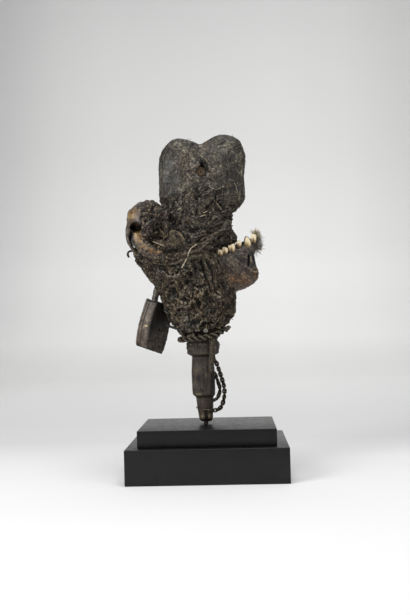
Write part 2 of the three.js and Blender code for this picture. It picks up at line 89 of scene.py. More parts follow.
def only(piece):
    deselect()
    piece.select_set(True)
    bpy.context.view_layer.objects.active = piece


def added(name):
    """Names the primitive that an operator has just added and settles its place."""
    piece = bpy.context.object
    piece.name = name
    piece.data.name = name
    only(piece)
    bpy.ops.object.transform_apply(location=True, rotation=True, scale=True)
    return piece


def modify(piece, kind, **settings):
    """Adds one modifier, sets it and applies it at once."""
    only(piece)
    modifier = piece.modifiers.new(kind.lower(), kind)
    for key, value in settings.items():
        setattr(modifier, key, value)
    bpy.ops.object.modifier_apply(modifier=modifier.name)
    return piece


def edit_all(piece, *moves):
    """Runs operators in edit mode with the whole mesh selected."""
    only(piece)
    bpy.ops.object.mode_set(mode="EDIT")
    bpy.ops.mesh.select_all(action="SELECT")
    for move in moves:
        move()
    bpy.ops.object.mode_set(mode="OBJECT")
    return piece


def smooth(piece, angle=35):
    only(piece)
    bpy.ops.object.shade_smooth_by_angle(angle=math.radians(angle))
    return piece


def from_solid(node, name):
    """Starts a piece from a merged copy of a solid, which itself stays as it is."""
    piece = bpy.data.objects.new(name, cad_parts[node].data.copy())
    bpy.context.scene.collection.objects.link(piece)
    only(piece)
    bpy.ops.mesh.customdata_custom_splitnormals_clear()
    piece.data.materials.clear()
    return edit_all(piece, lambda: bpy.ops.mesh.remove_doubles(threshold=0.000004))


def settle(piece, finish, slot, *nodes):
    """Gives a finished piece its finish and hides the solids it stands for. The slot is not used."""
    piece.data.materials.clear()
    piece.data.materials.append(finish.material)
    piece.data.polygons.foreach_set("material_index", [0] * len(piece.data.polygons))
    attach(piece, "root")
    if nodes:
        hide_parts(*nodes)
    faces = sum(len(p.vertices) - 2 for p in piece.data.polygons)
    print(f"{piece.name}: {faces} triangles")
    return piece

# %% [markdown]
# Operators change whole pieces. Where a form follows a rule, it is quicker to read all
# points of a mesh at once as numbers, to change them, and to write them back. What a finish
# has to know about a place, such as how sunk or how worn it is, is stored on the points as
# well.

# %% Helpers for points
def read_triples(items, name):
    flat = np.empty(len(items) * 3, np.float32)
    items.foreach_get(name, flat)
    return flat.reshape(-1, 3).astype(float)


def points_of(piece):
    return read_triples(piece.data.vertices, "co")


def normals_of(piece):
    return read_triples(piece.data.vertex_normals, "vector")


def set_points(piece, points):
    piece.data.vertices.foreach_set("co", points.astype(np.float32).ravel())
    piece.data.update()


def mesh_piece(name, corners, faces):
    """A piece from lists of corners, in mm, and of faces."""
    mesh = bpy.data.meshes.new(name)
    mesh.from_pydata((np.array(corners) * MM).tolist(), [], faces)
    piece = bpy.data.objects.new(name, mesh)
    bpy.context.scene.collection.objects.link(piece)
    return piece


def push_out(piece, heights):
    """Moves every point along its own normal by its height, in metres."""
    set_points(piece, points_of(piece) + normals_of(piece) * heights[:, None])


def roughen(piece, kind, size_mm, height_mm, **settings):
    """Pushes the surface in and out by a texture with lumps of size_mm, height_mm in all."""
    lumps = bpy.data.textures.new(kind.lower(), kind)
    lumps.noise_scale = size_mm * MM
    for key, value in settings.items():
        setattr(lumps, key, value)
    modify(piece, "DISPLACE", texture=lumps, texture_coords="LOCAL", strength=height_mm * MM, mid_level=0.5)


def keep_layers(piece, **layers):
    """Stores shares from 0 to 1 on the points of a piece, for its finish to read by name."""
    for name, values in layers.items():
        layer = piece.data.attributes.new(name, "FLOAT", "POINT")
        layer.data.foreach_set("value", np.clip(values, 0, 1).astype(np.float32))


def keep_relief(piece, before):
    """Stores how far each point was pushed out, so that the finish can follow it."""
    pushed = ((points_of(piece) - before) * normals_of(piece)).sum(axis=1)
    spread = max(float(pushed.std()), 1e-9)
    keep_layers(piece, relief=0.5 + (pushed - pushed.mean()) / (4 * spread))

# %% [markdown]
# The backdrop is one seamless bowl: a flat floor that curves up into a wall all round, as
# a paper sweep does in a studio. A circle is extruded outwards ring by ring, so that no
# view from any side meets an edge. Its paint is nearly white below and greyer above: this
# is painted shade, for light that falls off up the wall and away from the figure.

# %% Backdrop bowl
BOWL_RINGS = [(1.7, 0.0), (2.1, 0.05), (2.45, 0.22), (2.7, 0.5), (2.82, 0.9), (2.86, 1.6), (2.86, 2.8)]

deselect()
bpy.ops.mesh.primitive_circle_add(vertices=96, radius=1.0, fill_type="NGON")
backdrop = added("backdrop")
bpy.ops.object.mode_set(mode="EDIT")
bpy.ops.mesh.select_all(action="SELECT")
bpy.ops.mesh.region_to_loop()
ring_radius, ring_height = 1.0, 0.0
for radius, height in BOWL_RINGS:
    bpy.ops.mesh.extrude_edges_move(TRANSFORM_OT_translate={"value": (0, 0, height - ring_height)})
    widen = radius / ring_radius
    bpy.ops.transform.resize(value=(widen, widen, 1), center_override=(0, 0, 0))
    ring_radius, ring_height = radius, height
bpy.ops.object.mode_set(mode="OBJECT")
smooth(backdrop, 60)
print("bowl:", len(backdrop.data.polygons), "faces, radius", ring_radius, "m")

# %% [markdown]
# A finish is a small graph of nodes. This class keeps each graph short to write: a method
# makes one node, joins what it is given and returns its output. All patterns read Object
# coordinates in metres, so one lump in a texture has a true size on the piece.

# %% Finish builder
def shade(red, green, blue):
    """A colour as a painter mixes it, 0 to 255, made linear for the renderer."""
    linear = [((v / 255 + 0.055) / 1.055) ** 2.4 if v > 10 else v / 3294.6 for v in (red, green, blue)]
    return (*linear, 1.0)


class Finish:
    def __init__(self, name, roughness=0.7, metallic=0.0, specular=0.5):
        self.material = bpy.data.materials.new(name)
        self.material.use_nodes = True
        self.tree = self.material.node_tree
        self.shader = self.tree.nodes["Principled BSDF"]
        self.shader.inputs["Roughness"].default_value = roughness
        self.shader.inputs["Metallic"].default_value = metallic
        self.shader.inputs["Specular IOR Level"].default_value = specular
        self.place = self.make("ShaderNodeTexCoord").outputs["Object"]

    def make(self, kind, **settings):
        made = self.tree.nodes.new(kind)
        for key, value in settings.items():
            setattr(made, key, value)
        return made

    def join(self, source, socket):
        """Joins a socket or a layer's name; a number or a mixed colour is set as it is."""
        if isinstance(source, str):
            source = self.make("ShaderNodeAttribute", attribute_name=source).outputs["Fac"]
        if isinstance(source, bpy.types.NodeSocket):
            self.tree.links.new(source, socket)
        else:
            socket.default_value = shade(*source) if isinstance(source, tuple) else source

    def stretched(self, x=1, y=1, z=1, turn=(0, 0, 0)):
        mapping = self.make("ShaderNodeMapping")
        self.join(self.place, mapping.inputs["Vector"])
        mapping.inputs["Scale"].default_value = (x, y, z)
        mapping.inputs["Rotation"].default_value = [math.radians(v) for v in turn]
        return mapping.outputs["Vector"]

    def noise(self, lump_mm, detail=4, rough=0.6, twist=0.0, place=None):
        made = self.make("ShaderNodeTexNoise")
        self.join(place or self.place, made.inputs["Vector"])
        for socket, number in zip(("Scale", "Detail", "Roughness", "Distortion"),
                                  (1 / (lump_mm * MM), detail, rough, twist)):
            made.inputs[socket].default_value = number
        return made.outputs["Fac"]

    def each_strand(self):
        return self.make("ShaderNodeNewGeometry").outputs["Random Per Island"]

    def axis(self, name):
        parts = self.make("ShaderNodeSeparateXYZ")
        self.join(self.place, parts.inputs[0])
        return parts.outputs[name]

    def span(self, value, low, high, to_low=0.0, to_high=1.0):
        made = self.make("ShaderNodeMapRange", interpolation_type="SMOOTHSTEP")
        self.join(value, made.inputs["Value"])
        for socket, number in zip(("From Min", "From Max", "To Min", "To Max"),
                                  (low, high, to_low, to_high)):
            made.inputs[socket].default_value = number
        return made.outputs["Result"]

    def ramp(self, value, *stops):
        """Turns a value into colours; each stop is a place from 0 to 1 and a mixed colour."""
        made = self.make("ShaderNodeValToRGB")
        self.join(value, made.inputs["Fac"])
        knots = made.color_ramp.elements
        while len(knots) < len(stops):
            knots.new(0.5)
        for knot, (place, *colour) in zip(knots, stops):
            knot.position = place
            knot.color = shade(*colour)
        return made.outputs["Color"]

    def sum(self, *parts):
        """Adds parts, each a socket or a (socket, weight) pair."""
        total = None
        for part in parts:
            value, weight = part if isinstance(part, tuple) else (part, 1.0)
            made = self.make("ShaderNodeMath", operation="MULTIPLY_ADD")
            self.join(value, made.inputs[0])
            made.inputs[1].default_value = weight
            self.join(0.0 if total is None else total, made.inputs[2])
            total = made.outputs[0]
        return total

    def blend(self, share, under, over, mode="MIX"):
        """Lays one colour over another; a share may be a layer's name with a weight."""
        if isinstance(share, tuple):
            weighed = self.make("ShaderNodeMath", operation="MULTIPLY")
            self.join(share[0], weighed.inputs[0])
            weighed.inputs[1].default_value = share[1]
            share = weighed.outputs[0]
        made = self.make("ShaderNodeMix", data_type="RGBA", blend_type=mode)
        for source, socket in ((share, "Factor"), (under, 6), (over, 7)):
            self.join(source, made.inputs[socket])
        return made.outputs[2]

    def colour(self, socket):
        self.join(socket, self.shader.inputs["Base Color"])
        return self

    def gloss(self, socket):
        self.join(socket, self.shader.inputs["Roughness"])
        return self

    def bump(self, height, depth_mm, strength=0.8):
        made = self.make("ShaderNodeBump")
        made.inputs["Strength"].default_value = strength
        made.inputs["Distance"].default_value = depth_mm * MM
        self.join(height, made.inputs["Height"])
        self.join(made.outputs["Normal"], self.shader.inputs["Normal"])
        return self

# %% [markdown]
# Many small pieces need the same few nodes, so two functions build them. The second one
# gives each strand of a rope or straw its own tone, because no two fibres dry alike.

# %% Two common finishes
def plain_finish(name, lumps, tones, grit, depth_mm, strength, **surface):
    """One noise picks the colour and a finer one is the grit, which goes into the bump."""
    made = Finish(name, **surface)
    made.colour(made.ramp(made.noise(*lumps), *tones))
    return made.bump(made.noise(*grit), depth_mm, strength)


def two_tone_finish(name, lumps, first, second, grit, depth_mm, strength, **surface):
    """Each strand draws its own share of two tones; gives the finish and that mixed tone."""
    made = Finish(name, **surface)
    along = made.noise(*lumps)
    tone = made.blend(made.each_strand(), made.ramp(along, *first), made.ramp(along, *second))
    made.bump(made.noise(*grit), depth_mm, strength)
    return made.colour(tone), tone

# %% [markdown]
# The sweep is matt paper. A picture could be laid on it, but its light should change only
# slowly, so three ramps paint it in as painted shade: one along the floor, one up the wall,
# and one from side to side over both, greyer further back, high up and towards the sides.

# %% Paint of the sweep
paper = Finish("sweep_paper", roughness=0.95, specular=0.1)
# Painted shade: the paper's colour is made greyer further back, high up and to the sides.
floor_run = paper.sum((paper.axis("Y"), 0.5), (paper.axis("Z"), 1.0), (0.25, 1.0))
floor_painted_shade = paper.ramp(floor_run, (0.0, 245, 245, 245), (0.1, 242, 242, 242), (0.19, 238, 238, 238),
    (0.23, 235, 235, 235), (0.3, 230, 230, 230), (0.39, 214, 214, 214),
    (0.51, 215, 215, 215), (0.71, 223, 223, 223), (1.0, 230, 230, 229))
wall_painted_shade = paper.ramp(paper.sum((paper.axis("Z"), 0.5), (paper.noise(400, 2), 0.01)), (0.0, 226, 226, 225),
    (0.06, 240, 240, 239), (0.2, 241, 241, 240), (0.5, 224, 224, 223),
    (1.0, 202, 202, 202))
side_painted_shade = paper.ramp(paper.sum((paper.axis("X"), 0.5), (0.5, 1.0)), (0.02, 226, 226, 227),
    (0.13, 244, 244, 244), (0.24, 251, 251, 251), (0.62, 255, 255, 255),
    (0.78, 249, 249, 249), (0.9, 236, 236, 236))
up_the_wall = paper.span(paper.sum((paper.axis("Y"), 1.0), (paper.axis("Z"), 2.0)), 1.3, 2.1)
paper.colour(paper.blend(
    1.0, paper.blend(up_the_wall, floor_painted_shade, wall_painted_shade), side_painted_shade, mode="MULTIPLY"))
backdrop.data.materials.append(paper.material)
print("paper sweep finished with", len(paper.tree.nodes), "nodes")

# %% [markdown]
# Studio light is soft and wide. One large panel stands to the left and in front, because
# the left sides of the board and of the padlock are the bright ones. A weaker panel fills
# from the right, one hangs overhead, and one high up behind brightens the sweep.

# %% Lights
def soft_panel(name, place, aim, size, watts):
    data = bpy.data.lights.new(name, "AREA")
    data.shape = "RECTANGLE"
    data.size, data.size_y = size
    data.energy = watts
    lamp = bpy.data.objects.new(name, data)
    bpy.context.scene.collection.objects.link(lamp)
    lamp.location = place
    lamp.rotation_mode = "QUATERNION"
    lamp.rotation_quaternion = (Vector(aim) - Vector(place)).to_track_quat("-Z", "Y")
    lamp.visible_camera = False
    return lamp


soft_panel("key_panel", (-1.25, -1.15, 0.95), (0, 0, 0.22), (0.8, 1.1), 21)
soft_panel("fill_panel", (1.62, -1.62, 1.05), (0, 0, 0.2), (0.9, 1.1), 5.6)
soft_panel("top_panel", (0.1, -0.35, 1.6), (0, -0.1, 0), (1.0, 0.9), 15)
soft_panel("sweep_panel", (0.2, 1.0, 2.0), (0.2, 2.7, 0.55), (2.2, 0.7), 26)

world = bpy.data.worlds.new("room")
world.use_nodes = True
world.node_tree.nodes["Background"].inputs["Color"].default_value = (1, 1, 1, 1)
world.node_tree.nodes["Background"].inputs["Strength"].default_value = 0.2
bpy.context.scene.world = world
bpy.context.scene.view_settings.view_transform = "Standard"

# %% [markdown]
# The base is two plain slabs of board, painted black with a satin hand. Each starts as a
# cube at its size, and all its edges get the tiny round that sanding leaves. The slight
# unevenness of the paint is left to the bump of its finish.

# %% Sizes of the stepped base
BASE_STEPS = {
    "base_lower_step": ((180, 145, 39), 0),
    "base_upper_step": ((154, 119, 18.9), 39.1),
}
print("steps of the base, size and foot in mm:", BASE_STEPS)

# %% [markdown]
# The paint is black with a satin shine and a little dust. From the top of the lower step
# upwards it is painted darker still, as painted shade, so the colour changes with height there.

# %% Stepped base
satin_black = Finish("satin_black_paint", roughness=0.34, specular=0.27)
paint_dust = satin_black.noise(14, 6, 0.7)
dust_tone = satin_black.ramp(paint_dust, (0.35, 18, 18, 20), (0.62, 23, 23, 25), (0.8, 31, 31, 32))
# Above the lower step's top the colour is darkened: painted shade.
satin_black.colour(satin_black.blend(satin_black.span(satin_black.axis("Z"), 0.0385, 0.0395, 0.0, 0.45),
    dust_tone, (2, 2, 3)))
satin_black.gloss(satin_black.span(satin_black.noise(5, 5, 0.65), 0.3, 0.75, 0.3, 0.44))
satin_black.bump(satin_black.sum((satin_black.noise(0.7, 3), 0.6), (satin_black.noise(3.5, 2), 0.4)), 0.05,
    0.5)

for step_name, (step_size, step_foot) in BASE_STEPS.items():
    deselect()
    bpy.ops.mesh.primitive_cube_add(size=1)
    step = edit_all(
        added("painted_" + step_name),
        lambda: bpy.ops.transform.resize(value=[v * MM for v in step_size], center_override=(0, 0, 0)),
        lambda: bpy.ops.transform.translate(value=(0, 0, (step_foot + step_size[2] / 2) * MM)),
        lambda: bpy.ops.mesh.bevel(offset=0.8 * MM, segments=4, affect="EDGES"))
    smooth(step, 30)
    settle(step, satin_black, "base_paint", step_name)

# %% [markdown]
# A solid has the right outline but flat faces. Voxel remeshing gives a piece an even skin
# of small faces, which can then be pushed in and out: by noise for what lies everywhere, by
# spots and lines for what has a place of its own. Spots and lines are given in mm as the
# viewer sees them, as x and z.

# %% Helpers for skins
def even_skin(piece, voxel_mm, rounds=2):
    modify(piece, "REMESH", mode="VOXEL", voxel_size=voxel_mm * MM, adaptivity=0.0)
    if rounds:
        modify(piece, "SMOOTH", factor=0.5, iterations=rounds)
    print(f"{piece.name}: a skin of {len(piece.data.vertices)} points")
    return piece


def ridged(points, lump, heights, seed=0.0):
    """Noise that is sampled at stretched points; gives one value for each point."""
    shift = Vector((seed, seed * 1.7, seed * 0.3))
    return np.array([noise.noise(Vector(p) + shift) for p in points * np.array(lump)]) * heights


def near_spots(points, spots):
    """1 on each spot of the front view and 0 away from it: x, z, half width, half height."""
    x, z = points[:, 0] / MM, points[:, 2] / MM
    share = np.zeros(len(points))
    for spot_x, spot_z, wide, high in spots:
        share = np.maximum(share, np.exp(-((x - spot_x) / wide) ** 2 - ((z - spot_z) / high) ** 2))
    return share


def in_front_half(points):
    """1 on points in front of the middle plane and 0 behind it."""
    return (points[:, 1] < 0).astype(float)


def band(points, height, half_high):
    """1 at a height, in mm, and 0 away from it."""
    return np.exp(-((points[:, 2] / MM - height) / half_high) ** 2)


def line_ridge(points, route, half_wide, high):
    """A low ridge on the front, along a line of x and z points in mm."""
    flat = points[:, (0, 2)] / MM
    away = np.full(len(points), 1e9)
    for start, end in zip(np.array(route, float)[:-1], np.array(route, float)[1:]):
        along = np.clip(((flat - start) @ (end - start)) / ((end - start) @ (end - start)), 0, 1)
        away = np.minimum(away, np.linalg.norm(flat - (start + along[:, None] * (end - start)), axis=1))
    return high * MM * np.exp(-(away / half_wide) ** 2) * in_front_half(points)

# %% [markdown]
# The post is a turned-looking stake: a thick collar, a shaft, and a tip that steps in and
# is cleft like a hoof. Its skin gets long soft waves from the knife first and then fine
# grit, with a few dents and a crust where they are seen.

# %% Post
COLLAR_FOOT, TIP_STEP = 140.2, 92.6  # heights of the two ledges, in mm
post = from_solid("post", "carved_post")
even_skin(post, 0.65, 1)
smooth_post = points_of(post)
grain = np.array((260.0, 260.0, 28.0))
knife = np.array((90.0, 90.0, 16.0))
wave = ridged(smooth_post, grain, 0.3 * MM, 3.1) + ridged(smooth_post, knife, 0.5 * MM, 7.7)
# dents and a hard crust round the collar's upper left
crusty = np.clip((smooth_post[:, 2] - 141 * MM) / (8 * MM), 0, 1)
crusty *= np.clip((6 * MM - smooth_post[:, 0]) / (10 * MM), 0, 1)
chips = near_spots(smooth_post, [(-2.3, 124, 2.2, 2.6), (-9, 112, 1.6, 4), (6, 104, 1.4, 5),
    (-6, 97, 3, 1.4)])
grit = ridged(smooth_post, 520, 1.1 * MM, 1.3) * (0.1 + 0.9 * crusty) - 0.5 * MM * chips
post_front = in_front_half(smooth_post)
hollow_ends = near_spots(smooth_post, [(-6.4, 62.4, 2.8, 1.6), (1.2, 62.8, 2.4, 1.6)]) * post_front
tip_lobes = near_spots(smooth_post, [(-6.4, 66.5, 2.6, 3), (1.6, 67, 1.8, 3)]) * post_front
tip_line = line_ridge(smooth_post, [(-2, 76), (-2.2, 66), (-2.6, 60)], 0.8, 1.5)
ledge = band(smooth_post, COLLAR_FOOT, 1.5) + 0.5 * band(smooth_post, TIP_STEP, 0.9)
push_out(post, wave + grit + 0.8 * MM * ledge + 0.7 * MM * tip_lobes - 0.8 * MM * hollow_ends - tip_line)
roughen(post, "CLOUDS", 1.4, 0.25, noise_depth=3)
keep_relief(post, smooth_post)
# Under the two ledges, and in the hollows, dents and the tip's groove, the colour is darkened later as
# painted shade.
under_ledges = band(smooth_post, 137.2, 0.9) + 0.9 * band(smooth_post, 89.6, 0.8)
keep_layers(post, sunk=hollow_ends + 0.5 * chips + under_ledges + tip_line / MM,
    rubbed=0.8 * tip_lobes + near_spots(smooth_post, [(-2.3, 124, 1.2, 1.6), (-10, 93, 3, 1.2)]))
smooth(post, 55)

# %% [markdown]
# Smoke, oil and hands gave the post its patina. Long streaks follow the grain, patches lie
# over them, and the points' own layers paint shade into what is sunk or lies under a ledge,
# and paint highlights on the tip's lobes, at the nail and on the foot's left edge.

# %% Finish of the post
post_patina = Finish("post_patina", roughness=0.6, specular=0.35)
long_grain = post_patina.stretched(1, 1, 0.16)
streaks = post_patina.noise(2.6, 4, 0.6, place=long_grain)
patches = post_patina.noise(9, 4, 0.65)
dents_seen = post_patina.noise(2.2, 4, 0.65)
post_mix = post_patina.sum((streaks, 0.3), (patches, 0.35), (dents_seen, 0.35))
wood_on_post = post_patina.ramp(post_mix, (0.36, 20, 16, 13), (0.45, 42, 36, 30), (0.52, 58, 50, 42),
    (0.6, 80, 70, 57), (0.7, 110, 97, 76))
# Low places of the relief are painted darker: painted shade.
wood_on_post = post_patina.blend(post_patina.span("relief", 0.2, 0.5, 0.6, 0.0), wood_on_post,
    (24, 19, 16))
# Painted highlights: the tip's lobes, the spot at the nail and the foot's left edge are lightened.
wood_on_post = post_patina.blend(("rubbed", 0.7), wood_on_post, (142, 128, 98))
# Sunk places and the bands under the ledges are painted nearly black: painted shade.
post_patina.colour(post_patina.blend(("sunk", 0.9), wood_on_post, (8, 6, 5)))
post_patina.gloss(post_patina.span(patches, 0.3, 0.7, 0.68, 0.5))
post_patina.bump(post_patina.sum((streaks, 0.6), (dents_seen, 0.8)), 0.5, 0.8)
settle(post, post_patina, "post_wood", "post")

# %% [markdown]
# A steel pin stands in the base and runs up into the post. Almost none of it shows, only
# a dark neck below the tip. It is a cylinder with a small chamfer at its upper end.

# %% Pin
deselect()
bpy.ops.mesh.primitive_cylinder_add(vertices=32, radius=2.5 * MM, depth=36 * MM,
    location=(-2.6 * MM, 0, 62 * MM))
pin = added("steel_pin")
modify(pin, "BEVEL", width=0.5 * MM, segments=2, limit_method="ANGLE")
smooth(pin, 40)
dark_steel = plain_finish("dark_steel", (2, 4), [(0.3, 38, 36, 34), (0.7, 70, 66, 62)], (0.5, 3), 0.05, 0.4,
    roughness=0.4, metallic=0.9)
settle(pin, dark_steel, "pin_steel", "mounting_pin")

# %% [markdown]
# The head is a thick board with two lobes and a valley between them. Handling has worn
# its left lobe shiny, and a painted sheen lightens its colour there and on the right lobe,
# while the lower part is crusted over and its edge has become ragged. A few cords lie under
# the skin as low ridges, so points near their lines are pushed out.

# %% Head board
BOARD_RIDGES = [([(-9, 322.5), (1, 324.5), (14, 326)], 0.9, 0.9), ([(16, 331), (26, 333.5)], 0.6, 0.5),
    ([(17, 328), (25, 330), (35, 332.5)], 0.9, 0.9),
    ([(-5.5, 303), (-1, 309.5), (5.5, 315), (12, 320.5)], 0.9, 0.8),
    ([(-16, 312), (-14, 320), (-9, 327)], 0.8, 0.8), ([(-44, 330), (-32, 326), (-22, 325)], 0.8, 0.5)]
# depth in mm, then x, z, half width and half height of a spot round the peg
PEG_HOLLOWS = [(3.0, (-5.5, 350.5, 2.0, 2.6)), (3.4, (0.6, 361.5, 2.6, 2.2)), (2.8, (2.6, 358.0, 2.6, 2.6)),
    (3.0, (6.6, 353.0, 1.6, 3.2)), (2.2, (4.6, 345.8, 1.8, 1.6)), (2.4, (8.6, 350.2, 2.0, 1.2)),
    (-1.8, (-3.6, 358.8, 2.8, 2.8)), (-1.2, (-7.4, 356, 2.4, 2.0)), (-1.0, (-1.5, 343.0, 3, 1.6)),
    (1.4, (-9, 346, 2.2, 1.2))]
PEG_X, PEG_Z, PEG_RADIUS = -0.4, 349.7, 4.7
board = from_solid("head_board", "lobed_board")
even_skin(board, 0.85, 4)
flat_board = points_of(board)
dents = ridged(flat_board, (38, 30, 38), 1.2 * MM, 2.2) + ridged(flat_board, (95, 60, 80), 0.6 * MM, 5.9)
diagonal = flat_board @ np.array(((0.7, 0, -0.7), (0, 1, 0), (0.7, 0, 0.7)))
web = ridged(diagonal, (700, 300, 60), 0.26 * MM, 9.0) + ridged(diagonal, (60, 300, 700), 0.22 * MM, 4.0)
crust_line = 326 * MM + ridged(flat_board, 60, 9 * MM, 15.5)
low_crust = np.clip((crust_line - flat_board[:, 2]) / (7 * MM), 0, 1)
grit = ridged(flat_board, 260, 1.9 * MM, 6.6) * (0.06 + 0.8 * low_crust)
grit += ridged(flat_board, 650, 0.9 * MM, 2.6) * (0.25 + 0.75 * low_crust)
board_front = in_front_half(flat_board)
around_peg = sum(deep * near_spots(flat_board, [spot]) for deep, spot in PEG_HOLLOWS) * board_front
around_peg *= np.clip(0.9 + ridged(flat_board, 330, 1.9, 4.4), 0.1, 1.3)
cord_ridges = sum(line_ridge(flat_board, *ridge) for ridge in BOARD_RIDGES)
push_out(board, dents + web + grit + cord_ridges - around_peg * MM)
roughen(board, "CLOUDS", 1.2, 0.26, noise_depth=3)
keep_relief(board, flat_board)
keep_layers(board, crusted=low_crust)
# A dark ring round the peg is painted shade in the gap, kept with the hollows' shade.
from_peg = np.hypot(flat_board[:, 0] / MM - PEG_X, flat_board[:, 2] / MM - PEG_Z)
peg_gap = np.exp(-((from_peg - PEG_RADIUS - 0.7) / 1.2) ** 2) * board_front
peg_gap *= np.clip(0.85 + ridged(flat_board, 260, 1.4, 7.7), 0.3, 1)
keep_layers(board, sunk=np.maximum(around_peg / 2.4, peg_gap))
# These spots are worn shiny and also get a lighter colour as a painted sheen.
worn_shiny = near_spots(flat_board, [(-41, 350, 7, 16), (-44, 366, 5, 6), (24, 372, 8, 6)])
worn_shiny = np.maximum(worn_shiny * 0.7,
    near_spots(flat_board, [(-42.3, 345, 3.4, 13), (-42.5, 362, 3, 5)]))
DUSTY = [(-2, 350, 15, 13), (-20, 362, 12, 12), (2, 378, 9, 11)]
SOOTED = [(-36, 373, 7, 5), (-42, 377, 5, 9), (-33, 387, 8, 4), (27, 387, 12, 5), (37, 379, 8, 7),
    (40, 354, 6, 5), (-38, 337, 9, 6), (20, 340, 10, 5), (-14, 384, 6, 4), (44, 336, 5, 9)]
keep_layers(board, worn=worn_shiny, dusty=near_spots(flat_board, DUSTY),
    sooted=near_spots(flat_board, SOOTED))
smooth(board, 80)

# %% [markdown]
# The board is scratched in three directions, so three stretched noises are mixed. Brown
# dust, dark earth and wear are then laid over the wood by the layers that its points carry,
# with a painted sheen where it is worn and painted shade in its low places and round the peg.

# %% Finish of the head board
board_patina = Finish("board_patina", roughness=0.5, specular=0.5)
cross_one = board_patina.stretched(1, 1, 0.13, turn=(0, 38, 0))
cross_two = board_patina.stretched(0.13, 1, 1, turn=(0, 28, 0))
cross_three = board_patina.stretched(1, 1, 0.16, turn=(0, 3, 0))
scratches = board_patina.sum((board_patina.noise(2.3, 4, 0.7, place=cross_one), 0.36),
    (board_patina.noise(2.2, 4, 0.7, place=cross_two), 0.36),
    (board_patina.noise(2.5, 4, 0.7, place=cross_three), 0.28))
broad = board_patina.noise(13, 4, 0.65, 0.4)
specks = board_patina.noise(3.6, 4, 0.78)
fine_marks = board_patina.noise(2.0, 4, 0.78)
wood_tone = board_patina.ramp(
    board_patina.sum((broad, 0.26), (scratches, 0.32), (specks, 0.26), (fine_marks, 0.16)),
    (0.462, 12, 10, 8), (0.486, 36, 33, 28), (0.508, 64, 60, 52), (0.532, 98, 92, 80),
    (0.562, 148, 140, 121))
brown_dust = board_patina.ramp(
    board_patina.sum((scratches, 0.5), (specks, 0.5)),
    (0.42, 34, 27, 23), (0.5, 75, 64, 55), (0.58, 120, 105, 88))
earth = board_patina.ramp(
    board_patina.sum((specks, 0.4), (scratches, 0.35), (fine_marks, 0.25)),
    (0.4, 22, 18, 15), (0.48, 50, 44, 37), (0.55, 78, 69, 58), (0.64, 120, 106, 84))
# Low places of the relief are painted darker: painted shade.
deep = board_patina.span("relief", 0.22, 0.5, 0.8, 0.0)
dressed = board_patina.blend(
    "crusted",
    board_patina.blend(("dusty", 0.8), board_patina.blend(("worn", 0.7), wood_tone, (116, 115, 108)),
        brown_dust),
    earth)
dressed = board_patina.blend(("sooted", 0.55), dressed, (44, 40, 38))
dressed = board_patina.blend(deep, dressed, (16, 13, 11))
# Hollows round the peg and its gap are painted nearly black: painted shade.
board_patina.colour(board_patina.blend(board_patina.span("sunk", 0.3, 0.8), dressed, (6, 5, 4)))
board_patina.gloss(board_patina.sum((board_patina.span(broad, 0.3, 0.7, 0.42, 0.6), 1.0),
    ("crusted", 0.25), ("worn", -0.12)))
board_patina.bump(board_patina.sum((scratches, 0.9), (specks, 0.6)), 0.7, 0.9)
settle(board, board_patina, "board_wood", "head_board")

# %% [markdown]
# A short peg of lighter wood is driven into a hole between the lobes, where its sawn end
# looks out. The end is inset and pushed in a little, so that it reads as cut and worn, and
# its rings are painted by distance from its own axis.

# %% Peg in the board
deselect()
bpy.ops.mesh.primitive_cylinder_add(vertices=40, radius=PEG_RADIUS * MM, depth=23.2 * MM,
    location=(PEG_X * MM, -6.6 * MM, PEG_Z * MM), rotation=(math.pi / 2, 0, 0))
peg = added("cut_peg")
bpy.ops.object.mode_set(mode="EDIT")
bpy.ops.mesh.select_mode(type="FACE")
bpy.ops.mesh.select_all(action="DESELECT")
bpy.ops.object.mode_set(mode="OBJECT")
for face in peg.data.polygons:
    face.select = face.normal.y < -0.9
bpy.ops.object.mode_set(mode="EDIT")
for inset_mm, push_mm in ((0.5, -0.25), (0.9, 0.6), (1.1, 0.4)):
    bpy.ops.mesh.inset(thickness=inset_mm * MM)
    bpy.ops.transform.translate(value=(0, push_mm * MM, 0))
bpy.ops.object.mode_set(mode="OBJECT")
modify(peg, "BEVEL", width=0.25 * MM, segments=2, limit_method="ANGLE")
smooth(peg, 35)
print("peg:", len(peg.data.polygons), "faces")

# %% [markdown]
# The sawn end shows growth rings. A wave texture draws them as rings about the peg's axis,
# and a noise lays smoke over them.

# %% Finish of the peg
peg_wood = Finish("fresh_cut_wood", roughness=0.6, specular=0.3)
rings = peg_wood.make("ShaderNodeTexWave", wave_type="RINGS", rings_direction="Y")
centred = peg_wood.make("ShaderNodeMapping")
peg_wood.join(peg_wood.place, centred.inputs["Vector"])
centred.inputs["Location"].default_value = (-PEG_X * MM, 0, -PEG_Z * MM)
peg_wood.join(centred.outputs["Vector"], rings.inputs["Vector"])
rings.inputs["Scale"].default_value = 130
rings.inputs["Distortion"].default_value = 1.4
peg_wood.colour(peg_wood.blend(
    peg_wood.span(peg_wood.noise(1.8, 4, 0.7), 0.48, 0.64),
    peg_wood.ramp(rings.outputs["Fac"], (0.25, 94, 70, 39), (0.75, 31, 22, 12)), (22, 16, 11)))
peg_wood.bump(rings.outputs["Fac"], 0.2, 0.6)
settle(peg, peg_wood, "peg_wood", "board_peg")

# %% [markdown]
# An animal's skull looks out of the bundle on the left. Smoke and oil have turned it brown
# and ochre, and it shines where it bulges, where a painted sheen and a painted highlight lie.
# Its brow and its cheek arch are bare, while the dome beside the bundle has sunk into crust,
# so the skin is smooth there and rough here.

